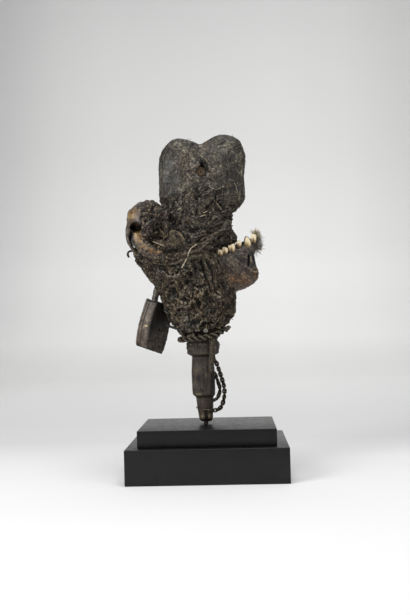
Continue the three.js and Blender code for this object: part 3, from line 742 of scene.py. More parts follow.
# %% Skull
skull = from_solid("animal_skull", "smoked_skull")
even_skin(skull, 0.75, 5)
bare_skull = points_of(skull)
arch_run = [(-74, 281, 5, 6), (-71, 272, 5, 7), (-65, 262, 6, 6), (-58, 257.5, 6, 5), (-51, 256, 5, 4)]
bare_arch = near_spots(bare_skull, arch_run)
sinking = np.clip((bare_skull[:, 0] + 74.5 * MM) / (7 * MM), 0, 1) * (1 - 0.9 * bare_arch)
sinking = np.maximum(sinking, near_spots(bare_skull, [(-41, 252, 6, 5)]))
smooth_lens = near_spots(bare_skull, [(-52, 277.5, 11, 4.5)])
in_front = np.clip((5 * MM - bare_skull[:, 1]) / (8 * MM), 0, 1)
waves = ridged(bare_skull, 120, 0.9 * MM, 3.3) + ridged(bare_skull, 300, 0.4 * MM, 8.1)
crumble = (np.abs(ridged(bare_skull, 170, 1.0, 4.4)) - 0.2) * 4.2 * MM
crumble += ridged(bare_skull, 430, 2.2 * MM, 1.4) + ridged(bare_skull, 800, 0.9 * MM, 6.4)
SKULL_PITS = [(-56.6, 307, 1.8, 3.4), (-56.9, 296, 1.9, 1.7), (-55.4, 286.8, 1.5, 2.8),
    (-50.4, 283, 1.6, 1.7), (-54.8, 281.8, 2.4, 1.3), (-51.6, 289, 2.2, 1.2), (-60, 274.7, 2.8, 1.2),
    (-53.6, 273.6, 4.4, 1.7), (-64, 292, 2.0, 1.3), (-66, 304, 2.8, 1.2), (-69, 298, 1.2, 1.6),
    (-61, 308, 2.2, 1.2)]
pits = near_spots(bare_skull, SKULL_PITS) * in_front
low_crown = np.clip((317 * MM - bare_skull[:, 2]) / (7 * MM), 0.15, 1)
waves -= 1.3 * MM * near_spots(bare_skull, [(-68.5, 317, 2.2, 4)])
crumble = crumble * (0.05 + 0.75 * sinking) * (1 - 0.8 * smooth_lens) * low_crown
push_out(skull, waves + crumble - 2.6 * MM * pits)
roughen(skull, "CLOUDS", 1.0, 0.16, noise_depth=2)
keep_relief(skull, bare_skull)
ochre = np.maximum(near_spots(bare_skull, [(-82, 301, 6, 5), (-75, 309, 6, 4)]), bare_arch)
# Pale spots on the brow and the arch: pale bone, partly a painted highlight.
pale = np.maximum(near_spots(bare_skull, [(-82, 299, 4.5, 3.2), (-75, 277, 1.8, 4)]),
    0.45 * near_spots(bare_skull, [(-66, 264, 4, 4)]))
# The sheen is a painted reflection: a lighter grey colour on the bulges.
sheen = near_spots(bare_skull, [(-71.5, 294, 4.6, 3), (-68, 289, 4, 3), (-76, 315, 5, 2)]) * in_front
socket_shadow = in_front * near_spots(
    bare_skull, [(-80.5, 287, 4.5, 4.6), (-74.5, 286.5, 5.5, 3.4), (-82, 277, 4.4, 8), (-80, 267, 4, 6)])
keep_layers(skull, sinking=sinking, ochre=ochre, pale=pale, sheen=sheen,
    shadow=np.maximum(pits, socket_shadow))
smooth(skull, 80)

# %% [markdown]
# Old bone runs from brown to ochre and pale where it was touched; the pale spots are partly
# a painted highlight, a grey painted sheen lies on the bulges, and pits and low places are
# painted nearly black as shade. One mixed noise gives every tone its grain, and the layers
# choose which tone lies where.

# %% Finish of the skull
smoked_bone = Finish("smoked_bone", roughness=0.42, specular=0.5)
stain = smoked_bone.noise(9, 5, 0.65, 0.6)
speckle = smoked_bone.noise(2.6, 5, 0.75)
mix = smoked_bone.sum((stain, 0.5), (speckle, 0.5))
brown_bone = smoked_bone.ramp(mix, (0.38, 26, 20, 16), (0.47, 62, 51, 42), (0.55, 92, 78, 63),
    (0.66, 128, 111, 89))
ochre_bone = smoked_bone.ramp(mix, (0.38, 76, 51, 26), (0.47, 107, 77, 41), (0.55, 128, 95, 52),
    (0.66, 160, 124, 72))
pale_bone = smoked_bone.ramp(mix, (0.38, 104, 81, 48), (0.52, 163, 139, 94), (0.64, 216, 196, 150))
grey_sheen = smoked_bone.ramp(mix, (0.38, 76, 70, 66), (0.6, 142, 137, 133))
dark_crust = smoked_bone.ramp(
    smoked_bone.sum((speckle, 0.75), (stain, 0.25)), (0.41, 9, 7, 6), (0.472, 38, 31, 26),
    (0.53, 82, 70, 58), (0.61, 156, 139, 114))
bone = smoked_bone.blend("ochre", brown_bone, ochre_bone)
bone = smoked_bone.blend(("pale", 0.75), bone, pale_bone)
bone = smoked_bone.blend(("sheen", 0.75), bone, grey_sheen)
bone = smoked_bone.blend(
    smoked_bone.span(smoked_bone.sum(("sinking", 1.0), (speckle, 0.5)), 0.5, 0.8), bone, dark_crust)
# Low places of the relief are painted darker: painted shade.
bone = smoked_bone.blend(smoked_bone.span("relief", 0.2, 0.48, 0.85, 0.0), bone, (18, 13, 10))
smoked_bone.colour(smoked_bone.blend(smoked_bone.span("shadow", 0.25, 0.75), bone, (5, 4, 3)))
smoked_bone.gloss(smoked_bone.sum((smoked_bone.span(stain, 0.3, 0.7, 0.3, 0.5), 1.0), ("sinking", 0.4)))
smoked_bone.bump(smoked_bone.sum((speckle, 0.7), (smoked_bone.noise(0.9, 3), 0.3)), 0.4, 0.7)
settle(skull, smoked_bone, "old_bone", "animal_skull")

# %% [markdown]
# On the right sticks out a jaw with its teeth. Its lower half is orange brown with fine
# lines that fan out along the bone, and two dark slots stand upright near the front, where
# it has dried and split. The slots are real grooves: points near their lines are pushed in.

# %% Jawbone
# upper and lower end of a groove in x and z, its half width and its depth
SLOTS = [((52.6, 251.5), (52, 241), 1.25, 3.2), ((57.8, 252), (58.6, 241.5), 1.0, 2.6),
    ((55.6, 256), (60.5, 246), 0.7, 1.2), ((60, 244), (56, 238), 0.8, 1.2),
    ((20, 233), (44, 229.5), 0.5, 0.7), ((26, 243), (50, 246.5), 0.5, 0.6),
    ((30, 220), (56, 222.5), 0.4, 0.5), ((36, 250), (44, 246), 0.8, 0.7), ((30, 226), (52, 236), 0.5, 0.6)]
jaw = from_solid("jawbone", "smoked_jaw")
even_skin(jaw, 0.7, 3)
bare_jaw = points_of(jaw)
fan_angle = np.arctan2(bare_jaw[:, 2] - 300 * MM, bare_jaw[:, 0] + 40 * MM)
fan_reach = np.hypot(bare_jaw[:, 2] - 300 * MM, bare_jaw[:, 0] + 40 * MM)
fan_place = np.stack((fan_angle * 0.11, bare_jaw[:, 1] * 0.3, fan_reach * 0.1), axis=1)
fine_lines = ridged(fan_place, 700, 0.26 * MM, 6.2) + ridged(bare_jaw, 110, 0.9 * MM, 2.6)
pores = ridged(bare_jaw, 420, 0.8 * MM, 8.8)
gum_line = np.interp(bare_jaw[:, 0] / MM, [-4, 18, 34, 52, 60, 64], [248, 256.5, 261.5, 267.5, 271, 272])
gum = np.clip((bare_jaw[:, 2] / MM - gum_line + 2.5) / 3, 0, 1)
cuts = sum(line_ridge(bare_jaw, (start, end), *cut) for start, end, *cut in SLOTS)
gum_crumble = gum * ridged(bare_jaw, 480, 1.6 * MM, 3.9)
rear = np.clip((30 * MM - bare_jaw[:, 0]) / (7 * MM), 0, 1)
rear_crumble = rear * ridged(bare_jaw, 330, 2.4 * MM, 5.9)
push_out(jaw, fine_lines + pores + gum_crumble + rear_crumble - cuts)
roughen(jaw, "CLOUDS", 1.0, 0.18, noise_depth=2)
keep_relief(jaw, bare_jaw)
ORANGE = [(33, 224, 15, 10), (45, 222, 12, 8), (60, 230, 5, 7), (24, 232, 7, 8)]
keep_layers(jaw, fan=0.5 + ridged(fan_place, (1100, 300, 360), 0.7, 16.3), gum=gum,
    slot=cuts / (1.4 * MM), rear=rear, orange=near_spots(bare_jaw, ORANGE))
smooth(jaw, 80)

# %% [markdown]
# The jaw has the same grain as the skull, but its lines fan out and its lower half is
# orange. Two ramps of one noise are blended by a layer. The slots and the low places are
# painted dark as painted shade, the slots almost black.

# %% Finish of the jaw
jaw_stain = Finish("stained_jaw", roughness=0.5, specular=0.4)
clouds = jaw_stain.noise(6, 4, 0.65, 0.5)
jaw_specks = jaw_stain.noise(2.2, 5, 0.78)
jaw_mix = jaw_stain.sum(("fan", 0.14), (clouds, 0.36), (jaw_specks, 0.5))
grey_bone = jaw_stain.ramp(jaw_mix, (0.38, 22, 18, 15), (0.46, 52, 45, 39), (0.53, 80, 71, 62),
    (0.6, 122, 110, 95))
orange_bone = jaw_stain.ramp(jaw_mix, (0.38, 26, 18, 13), (0.46, 58, 42, 28), (0.53, 92, 67, 44),
    (0.61, 142, 108, 72))
tone = jaw_stain.blend("orange", grey_bone, orange_bone)
tone = jaw_stain.blend(("rear", 0.6), tone, (40, 33, 28))
# Low places of the relief are painted darker: painted shade.
tone = jaw_stain.blend(jaw_stain.span("relief", 0.15, 0.45, 0.7, 0.0), tone, (20, 16, 13))
tone = jaw_stain.blend(("gum", 0.9), tone, (32, 23, 17))
# The slots and fine grooves are painted almost black: painted shade.
jaw_stain.colour(jaw_stain.blend(jaw_stain.span("slot", 0.35, 0.9), tone, (9, 7, 6)))
jaw_stain.gloss(jaw_stain.span(clouds, 0.3, 0.7, 0.42, 0.64))
jaw_stain.bump(jaw_stain.sum(("fan", 0.4), (jaw_specks, 0.7)), 0.5, 0.8)
settle(jaw, jaw_stain, "jaw_bone", "jawbone")

# %% [markdown]
# Each tooth is a cheek tooth with a waisted crown that splits into cusps. It starts as a
# cube, is cut into finer faces, its top is raised in two cusps, and a Subdivision modifier
# rounds it. Old enamel is ivory; its colour darkens towards the root and in the groove
# between the cusps, so it follows the tooth's height and its own hollows. Each tooth's left
# side is painted darker as shade, and the far row behind gets a darker copy of the enamel,
# also painted shade.

# %% Teeth
def enamel_finish(name, neck, low, high, crown):
    made = Finish(name, roughness=0.3, specular=0.5)
    # The right-side share makes each tooth lighter on the right and darker on the left: painted shade.
    tooth_stain = made.sum(("height_up", 0.78), (made.noise(1.8, 4, 0.75), 0.66), ("groove", -0.14),
        ("right_side", 0.2))
    made.colour(made.ramp(tooth_stain, (0.52, *neck), (0.66, *low), (0.8, *high),
        (0.95, *crown)))
    made.gloss(made.span(tooth_stain, 0.5, 1.0, 0.6, 0.26))
    made.bump(made.noise(0.9, 4, 0.6, place=made.stretched(1, 1, 0.25)), 0.16, 0.6)
    return made


enamel = enamel_finish("old_enamel", (44, 32, 18), (116, 93, 54), (190, 168, 126), (230, 214, 182))
worn_enamel = enamel_finish("worn_enamel", (38, 27, 17), (88, 66, 42), (164, 142, 104), (226, 212, 180))
# The far row behind the near one gets this darker copy: painted shade.
shaded_enamel = enamel_finish("shaded_far_enamel", (20, 14, 10), (44, 33, 24), (74, 60, 44), (104, 90, 68))
tooth_draw = random.Random(3)


def tooth(name, node, cusp_count, coat, fuller, taller):
    low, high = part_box(node)
    centre = (low + high) / 2
    deselect()
    bpy.ops.mesh.primitive_cube_add(size=1)
    piece = edit_all(added(name), lambda: bpy.ops.mesh.subdivide(number_cuts=9))
    x, y, z = points_of(piece).T * 2
    # a cube's corners are drawn in towards a rounded block
    drawn_in = 1 - 0.17 * x * x * y * y - 0.06 * (x * x + y * y) * z * z
    waist = 0.8 + 0.2 * np.cos((z - 0.25) * 2.0)
    if cusp_count > 1:
        groove = np.exp(-((x - tooth_draw.uniform(-0.25, 0.25)) / 0.3) ** 2)
        cusps = 0.1 * np.cos(x * math.pi * cusp_count / 2) ** 2
    else:
        groove, cusps = np.exp(-(x / 0.2) ** 2) * 0.3, 0.16 * (1 - x * x)
    cusps -= 0.08 * groove + tooth_draw.uniform(0.05, 0.16) * x * tooth_draw.choice((-1, 1))
    top = np.clip(z, 0, 1) ** 2
    half_x, half_y, half_z = (high - low) / 2
    lean = tooth_draw.uniform(-0.08, 0.08) * half_x
    bulge = 1 - 0.08 * groove * np.clip(z + 0.6, 0, 1)
    wide = centre.x + x * half_x * fuller * waist * drawn_in + lean * z
    deep = centre.y + y * half_y * waist * drawn_in * bulge * 0.96
    domed = z * (0.94 - 0.1 * (x * x + y * y) * (z > 0)) + cusps * top * 1.3
    tall = low.z + half_z * (1 + domed) * taller
    set_points(piece, np.stack((wide, deep, tall), axis=1))
    modify(piece, "SUBSURF", levels=1, render_levels=1)
    smooth_tooth = points_of(piece)
    push_out(piece, ridged(smooth_tooth, (300, 300, 200), 0.9 * MM, tooth_draw.uniform(0, 30)))
    across = (smooth_tooth[:, 0] - centre.x) / half_x
    # The right-side share is a painted shade across each tooth.
    keep_layers(piece, height_up=(smooth_tooth[:, 2] - low.z) / (high.z - low.z),
        right_side=0.5 + 0.6 * across,
        groove=np.exp(-(across / 0.22) ** 2) * (1 if cusp_count > 1 else 0.2))
    smooth(piece, 80)
    settle(piece, coat, "ivory", node)


# cusps, near height and fullness beside the solid's, far height, and the near finish
TEETH = [
    (2, 0.78, 1.1, 0.97, enamel), (2, 0.86, 1.1, 0.97, enamel), (2, 0.86, 1.04, 1.0, enamel),
    (1, 0.92, 1.0, 1.15, worn_enamel), (1, 0.86, 0.92, 1.06, enamel), (2, 1.12, 1.04, 1.28, worn_enamel),
]
for number, (cusp_count, taller, fuller, far_taller, coat) in enumerate(TEETH, 1):
    tooth(f"tooth_near_{number}", f"jaw_tooth_near_{number}", cusp_count, coat, fuller, taller)
    tooth(f"tooth_far_{number}", f"jaw_tooth_far_{number}", cusp_count, shaded_enamel, 1.0, far_taller)

# %% [markdown]
# The bundle is the heart of the figure: earth, blood and oil have dried over cloth, cord
# and straw until nothing of the form below is clear. One skin is remeshed from the solid.
# It is then matted: ridges follow the way the cords once ran, hollows and single cords
# are set one by one, and lumps and grit go over all. Depth is kept to colour pits and crests.

# %% Places on the bundle
# x, z, half width, half height and depth of the dark hollows seen from the front
PITS = [(-32.7, 288.2, 2.7, 3.9, 5.5), (-34, 298, 1.2, 1.8, 3.4), (-26.4, 303.2, 2.6, 1.4, 3.2),
    (-33, 306.5, 1.3, 2.6, 3.0), (-18.9, 283.4, 2.6, 2.0, 3.4), (-15.3, 273.1, 2.4, 2.0, 3.2),
    (-46, 272.5, 6, 2.2, 4.0), (-8.5, 258, 2.6, 1.8, 2.6), (22, 263, 5.5, 3.0, 4.5),
    (13, 257, 4.0, 2.6, 3.5), (5.2, 238, 1.8, 3.4, 3.4), (3, 245, 2.2, 2.6, 3.0),
    (-23.4, 296.5, 2.4, 2.2, 3.2), (-19, 285.5, 2.6, 1.4, 3.0), (-9, 281.5, 3.0, 1.8, 3.2),
    (1.5, 281, 2.4, 1.4, 2.6), (9, 277, 2.4, 1.8, 3.0), (-30, 294, 2.2, 3.2, 3.4),
    (-41, 308, 1.8, 2.6, 3.0), (-27, 304, 1.6, 1.8, 2.4), (27, 297, 2.0, 1.6, 2.2),
    (-30, 233, 2.0, 2.4, 3.2), (-28.5, 225, 1.8, 2.2, 3.0), (-20, 221, 2.4, 1.6, 2.4),
    (-8, 236, 1.8, 1.4, 2.2), (-44, 236, 2.2, 1.6, 2.2), (11, 227, 1.8, 3.6, 2.6), (16, 216, 1.8, 3.4, 2.6),
    (-6, 197, 2.6, 1.8, 2.2), (6, 199, 2.2, 1.4, 2.0), (-14, 203, 2.2, 1.6, 2.2), (-18, 184, 3.0, 1.6, 2.0),
    (-12, 212, 2.4, 1.4, 2.0), (0.2, 166.8, 5.0, 3.8, 2.6), (22, 190, 3, 2, 2), (-30, 206, 2.4, 1.8, 2),
    (10, 186, 3, 1.6, 1.8)]
# low ridges over the front: a line of x and z, half width and height
BROW_CORDS = [([(-13, 324), (-8, 316), (-11, 304), (-8, 296)], 1.2, 1.6),
    ([(14, 320), (6, 312), (-1, 305), (-6, 296)], 1.3, 1.8), ([(26, 314), (14, 305), (4, 297)], 1.1, 1.3),
    ([(-20, 318), (-17, 308), (-20, 300)], 1.0, 1.2), ([(30, 299), (20, 296), (6, 294)], 1.2, 1.3),
    ([(28, 290), (20, 289), (12, 285), (4, 284)], 1.3, 1.4),
    ([(29, 282), (22, 280), (14, 275.5), (6, 269)], 1.4, 1.6),
    ([(31, 276.5), (24, 274), (16, 269)], 1.2, 1.3),
    ([(2, 256), (8, 246), (12, 234), (17, 220), (24, 206)], 1.4, 2.2),
    ([(10, 254), (16, 242), (20, 230), (27, 214)], 1.3, 2.0),
    ([(-2, 252), (4, 238), (8, 222), (12, 206)], 1.2, 1.4),
    ([(-56, 250), (-40, 249), (-24, 253), (-10, 257)], 1.5, 1.8),
    ([(-48, 242), (-32, 244), (-16, 250), (-4, 253)], 1.3, 1.4),
    ([(20, 246), (24, 236), (27, 222)], 1.1, 1.4)]
# dark gaps between folds: a line of x and z, half width and depth
CREASES = [([(-2, 246), (0.5, 234), (5, 219), (9.5, 210)], 1.1, 3.2),
    ([(13.5, 242), (17, 230), (23, 217)], 0.9, 2.6), ([(4, 259), (8, 254), (12, 249)], 1.2, 3.0),
    ([(7.5, 247), (11, 238), (14, 228), (19, 213)], 0.8, 2.2),
    ([(-38, 310), (-36.5, 302), (-38, 294), (-32, 290)], 1.2, 3.4),
    ([(-25, 284), (-17, 279.5), (-9, 277.5)], 1.1, 3.0), ([(-54, 303), (-48, 305), (-41, 303)], 1.0, 2.6),
    ([(-49, 293), (-44, 290), (-38, 291)], 1.0, 2.6),
    ([(-2, 272), (8, 276), (18, 280), (27, 283)], 0.9, 1.8),
    ([(-66, 247), (-54, 243), (-42, 240)], 0.8, 1.4), ([(-54, 226), (-44, 220), (-36, 212)], 0.9, 1.6),
    ([(-12, 194), (-2, 190), (8, 192)], 0.9, 1.6), ([(20, 204), (15, 196), (13, 188)], 0.9, 1.8),
    ([(-26, 212), (-22, 204), (-24, 196)], 0.8, 1.6),
    ([(-24, 162.5), (-12, 163.5), (2, 165.5), (12, 168.5)], 1.5, 2.6), ([(-6, 320), (6, 321.5)], 1.2, 2.0),
    ([(15, 324), (16, 317)], 1.4, 1.8), ([(-50, 288), (-44, 283), (-36, 281.5)], 1.0, 2.4)]
# big lumps beside the skull: x, z, half width, half height and how far they stand out
KNOBS = [(-39.5, 303.8, 5.2, 3.4, 3.4), (-41, 297.2, 3.6, 2.4, 2.4), (-47, 300.5, 3.0, 2.4, 1.8),
    (-52, 296.5, 2.6, 3.2, 1.6), (-30.5, 300, 3.0, 4.0, 2.2), (-39, 288, 3.4, 2.6, 2.0),
    (-51, 284, 3.4, 2.2, 1.8), (-23, 291, 2.6, 2.8, 1.8), (-29, 311, 3.2, 3.0, 1.6),
    (-12, 287, 3.2, 2.2, 1.6), (-2, 290, 3.4, 2.0, 1.4), (8, 191, 4.4, 3.0, 1.4), (-16, 216, 4, 3.4, 1.4),
    (-34, 216, 4, 4, 1.4), (12, 207, 3.4, 3.4, 1.4), (-6, 222, 3, 4, 1.2), (-22, 190, 4, 3, 1.2),
    (-8, 181, 3.4, 2.6, 1.2)]
print("on the bundle:", len(PITS), "pits,", len(CREASES), "creases,", len(BROW_CORDS), "cords and",
    len(KNOBS), "knobs")

# %% [markdown]
# Cloth, cord and straw run in bundles that change direction from place to place. The front
# is divided into soft regions, each with its own direction, and a noise is stretched along
# it. The regions fade into each other, so no border shows.

# %% Matting of the skin
# x, z, half width, half height of a region on the front, and the way its fibres run
FLOWS = [
    (18, 281, 26, 13, (1, 0.2)), (18, 232, 14, 27, (0.36, -1)), (-34, 248, 30, 9, (1, 0.14)),
    (-16, 312, 12, 16, (0.25, 1)), (8, 312, 11, 16, (0.6, 0.8)), (26, 312, 10, 13, (0.85, 0.4)),
    (-42, 270, 7, 10, (0.6, 1)), (-24, 270, 7, 10, (-0.6, 1)), (0, 263, 9, 8, (0.8, 0.5)),
    (-56, 232, 14, 12, (0.7, -0.7)), (-30, 168, 8, 12, (0.1, 1)),
]
FLOW_DEPTH = 8  # the regions reach this far behind the middle, in mm


def flow_share(x, z, flow):
    return np.exp(-((x - flow[0]) / flow[2]) ** 4 - ((z - flow[1]) / flow[3]) ** 4)


def matted(points, gap, run, seed):
    """Crests and creases that follow the flows: 1 on a crest and 0 in a crease."""
    x, y, z = points.T / MM
    bent = ridged(points, 70, 5.0, seed + 1)
    free = np.stack((x + bent, y, z - bent), axis=1) / gap / 1.25
    layers = [(np.full(len(points), 0.3), free),
        ((y > FLOW_DEPTH) * 1.0, np.stack((x / run, y / gap, z / gap), axis=1))]
    for flow in FLOWS:
        along_x, along_z = np.array(flow[4]) / math.hypot(*flow[4])
        along, across = x * along_x + z * along_z, z * along_x - x * along_z
        place = np.stack((along / run, y / gap, across / gap), axis=1)
        layers.append((flow_share(x, z, flow) * (y < FLOW_DEPTH), place))
    crest, total = 0.0, 0.0
    for share, place in layers:
        crest = crest + share * (1 - 2.2 * np.abs(ridged(place, 1, 1.0, seed)))
        total = total + share
    return crest / total


print("regions with their own direction:", len(FLOWS))

# %% [markdown]
# The skin is remeshed from the solid and pushed out once, by the sum of all that lies on
# it. That keeps single forms at their places, whatever order they are added in. A pale tent
# of cloth stays smoother than the rest.

# %% Bundle skin
bundle = from_solid("bound_mass", "crusted_bundle")
even_skin(bundle, 1.0, 1)
bare_bundle = points_of(bundle)
at_front = in_front_half(bare_bundle)
x_mm, z_mm = bare_bundle[:, 0] / MM, bare_bundle[:, 2] / MM
TENT_LINE = [(-50, 263), (-47.6, 267.5), (-41.8, 275.1), (-34.8, 279.4), (-30.1, 279.6), (-24.5, 275.6),
    (-21.2, 269.6), (-18.6, 262)]
tent_top = np.interp(x_mm, *zip(*TENT_LINE))
within_tent = np.clip((x_mm + 50) / 3, 0, 1) * np.clip((-18 - x_mm) / 3, 0, 1) * at_front
tent = np.clip((tent_top - z_mm) / 1.5, 0, 1) * np.clip((z_mm - 256) / 6, 0, 1) * within_tent
over_tent = np.exp(-((z_mm - tent_top - 2.6) / 1.7) ** 2) * within_tent
lumpy = near_spots(bare_bundle, [(-38, 298, 13, 11), (-50, 282, 10, 7), (-30, 287, 8, 7)]) * at_front
billow = np.abs(ridged(bare_bundle, 48, 1.0, 1.9)) - 0.25
coarse_mat, fine_mat = matted(bare_bundle, 7.0, 34, 5.1), matted(bare_bundle, 3.0, 15, 8.3)
lump = ridged(bare_bundle, 230, 1.0, 9.3)
big_lump = ridged(bare_bundle, 150, 1.0, 2.3)
grit = ridged(bare_bundle, 470, 1.0, 3.7)
coverage = np.clip(0.4 + ridged(bare_bundle, 26, 1.2, 12.5), 0, 1)
relief_mm = 2.6 * billow + 2.9 * (coarse_mat - 0.55) + 1.5 * (fine_mat - 0.5)
relief_mm += 1.2 * lump * coverage
relief_mm += 0.9 * grit
relief_mm += 1.1 * big_lump
relief_mm += lumpy * (4.2 * big_lump + 1.6 * lump)
for *knob, out in KNOBS:
    relief_mm += out * near_spots(bare_bundle, [knob]) * at_front
relief_mm *= 1 - 0.75 * tent
# The depth of pits, creases and the band above the tent is pushed in and also painted dark as shade.
sunk = 2.4 * over_tent
for *pit, deep in PITS:
    sunk = np.maximum(sunk, deep * near_spots(bare_bundle, [pit]) * at_front)
for crease in CREASES:
    sunk = np.maximum(sunk, line_ridge(bare_bundle, *crease) / MM)
laid_ridges = sum(line_ridge(bare_bundle, *ridge) for ridge in BROW_CORDS) / MM
tent_edge = line_ridge(bare_bundle, TENT_LINE, 0.9, 1.0) / MM
rope_end = np.exp(-((x_mm - 25) / 6) ** 2 - ((z_mm - 169) / 6) ** 2)
push_out(bundle, (relief_mm - 0.5 - sunk - 3.4 * rope_end + laid_ridges + 1.2 * tent_edge) * MM)
roughen(bundle, "VORONOI", 2.6, 0.35, distance_metric="DISTANCE")
roughen(bundle, "CLOUDS", 1.5, 0.9, noise_depth=3)
keep_relief(bundle, bare_bundle)
shaded_edge = near_spots(bare_bundle, [(-37.4, 193.4, 5, 7)]) * at_front
keep_layers(bundle, sunk=np.maximum(sunk / 3, 0.45 * shaded_edge),
    mat=0.55 * coarse_mat + 0.45 * fine_mat)
bare_cloth = near_spots(bare_bundle, [(-44, 257, 7, 4.5), (-35, 256.5, 7, 4.5), (-53.4, 266, 4, 4),
    (-43, 302, 5, 3.5)])
keep_layers(bundle, tent=np.maximum(tent, 0.9 * bare_cloth * at_front), pale_line=tent_edge,
    red_knot=near_spots(bare_bundle, [(-44, 298, 4, 5), (-52, 300, 4, 2), (-20, 291, 3, 3)]) * at_front)
BLUISH = [(-16.5, 174, 6, 5), (-8.2, 235.8, 3.5, 5), (13.8, 197, 4.5, 6), (-33, 244.5, 4.5, 2.6),
    (-49.5, 233.4, 3.5, 3.5), (-36.7, 207, 4.5, 5), (2, 284, 5, 3), (-21, 298, 3, 4)]
keep_layers(bundle, bluish=near_spots(bare_bundle, BLUISH) * at_front)
neck_share = np.clip((z_mm - 280) / 16, 0, 1)
keep_layers(bundle, greyish=np.maximum(
    neck_share * (0.35 + 0.65 * near_spots(bare_bundle, [(6, 306, 26, 22)])),
    near_spots(bare_bundle, [(-7.3, 283, 6, 5), (10.4, 265, 7, 4)]) * at_front))
smooth(bundle, 90)

# %% [markdown]
# The crust is dull and broken: clods, flecks and patches are mixed into one value, and a
# warm, a cool and a dark ramp read it. Height decides between them: what stands out gets
# the lighter ramps, and the dark one in what is sunk is partly soot and partly painted
# shade. Pits and creases are painted nearly black as shade.

# %% Finish of the crust
crust = Finish("dried_crust", roughness=0.86, specular=0.25)
broad_tone = crust.noise(18, 4, 0.6, 0.5)
clods = crust.noise(4.0, 5, 0.75)
flecks = crust.noise(2.0, 4, 0.78)
patches = crust.noise(9.0, 3, 0.6, 0.3)
crust_mix = crust.sum((clods, 0.34), (flecks, 0.34), ("mat", 0.1), (patches, 0.2), (0.5, 0.02))
crust_high = crust.ramp(crust_mix, (0.43, 14, 11, 8), (0.465, 44, 38, 31), (0.505, 79, 70, 57),
    (0.55, 110, 97, 78), (0.61, 162, 144, 114))
crust_cool = crust.ramp(crust_mix, (0.44, 10, 10, 10), (0.472, 44, 43, 40), (0.508, 84, 80, 73),
    (0.56, 142, 135, 122))
crust_low = crust.ramp(flecks, (0.4, 5, 4, 3), (0.5, 20, 17, 14), (0.62, 50, 43, 35))
cool_share = crust.sum((crust.span(broad_tone, 0.44, 0.6), 0.7), ("greyish", 0.6))
# Crest or hollow picks the ramp: the dark ramp in the hollows is partly painted shade.
high_share = crust.span(crust.sum(("relief", 0.7), ("mat", 0.3)), 0.31, 0.49)
crusted = crust.blend(high_share, crust_low, crust.blend(cool_share, crust_high, crust_cool))
crusted = crust.blend(("bluish", 0.75), crusted,
    crust.ramp(crust_mix, (0.43, 8, 9, 10), (0.495, 42, 45, 48), (0.54, 74, 78, 82),
        (0.61, 136, 140, 146)))
crusted = crust.blend(("tent", 0.8), crusted,
    crust.ramp(crust_mix, (0.41, 48, 41, 33), (0.52, 82, 72, 59), (0.62, 118, 104, 84)))
crusted = crust.blend(("red_knot", 0.55), crusted,
    crust.ramp(crust_mix, (0.41, 36, 22, 17), (0.52, 92, 66, 54), (0.62, 140, 110, 90)))
crusted = crust.blend(("pale_line", 0.9), crusted, (150, 136, 110))
# Pits and creases are painted nearly black: painted shade.
crust.colour(crust.blend(crust.span("sunk", 0.25, 0.7), crusted, (6, 5, 4)))
crust.gloss(crust.span(broad_tone, 0.35, 0.7, 0.92, 0.7))
crust.bump(crust.sum((clods, 0.5), (flecks, 0.7)), 1.1, 1.0)
settle(bundle, crust, "crust", "bound_mass")

# %% [markdown]
# Cord, straw and crumbs all have to lie on this skin. A search tree answers where the
# nearest surface is, and a ray from the front or from any side finds where a point of the
# photograph's outline lands.

# %% Helpers that lay things on the bundle
def tree_of(*objects):
    corners, faces = [], []
    for piece in objects:
        start = len(corners)
        corners += [v.co.copy() for v in piece.data.vertices]
        faces += [[start + i for i in p.vertices] for p in piece.data.polygons]
    return BVHTree.FromPolygons(corners, faces)


BUNDLE_AXIS_X = -12
DRAPE_REACH = 6.0  # how far, in mm, a draped line looks for the skin
bundle_tree = tree_of(bundle)
carrier_tree = tree_of(bundle, board, skull, jaw)


def from_front(x, z):
    """Where a line from the front at x, z (in mm) meets the skin, in mm."""
    hit = carrier_tree.ray_cast(Vector((x, -200, z)) * MM, Vector((0, 1, 0)))
    return Vector(hit[0]) / MM if hit[0] else Vector((x, 0, z))


def from_side(angle, z):
    """The bundle's skin from any side: angle 0 is the front, 90 the right, in degrees."""
    turn = math.radians(angle)
    away = Vector((math.sin(turn), -math.cos(turn), 0))
    hit = bundle_tree.ray_cast((Vector((BUNDLE_AXIS_X, 0, z)) + away * 200) * MM, -away)
    return Vector(hit[0]) / MM if hit[0] else None

# %% [markdown]
# A strand needs points at even steps, or its twist would bunch up. Two directions are
# carried along the path without turning, and plies or yarns are wound round it with them.
# All strands of one kind are splines in one curve object, which gets a round bevel and is
# turned into a mesh.

# %% Helpers for paths and strands
def even_path(points, step):
    """Runs a smooth line through points and returns places one step apart, in mm."""
    knots = [Vector(p) for p in points]
    knots = [knots[0] * 2 - knots[1], *knots, knots[-1] * 2 - knots[-2]]
    fine = []
    for a, b, c, d in zip(knots, knots[1:], knots[2:], knots[3:]):
        for i in range(10):
            t = i / 10
            fine.append(0.5 * ((2 * b) + (c - a) * t + (2 * a - 5 * b + 4 * c - d) * t * t
                + (3 * b - a - 3 * c + d) * t ** 3))
    fine.append(knots[-2])
    fine = np.array([list(p) for p in fine])
    run = np.concatenate(([0], np.cumsum(np.linalg.norm(np.diff(fine, axis=0), axis=1))))
    count = max(2, int(round(run[-1] / step)) + 1)
    places = np.linspace(0, run[-1], count)
    return np.stack([np.interp(places, run, fine[:, k]) for k in range(3)], axis=1)


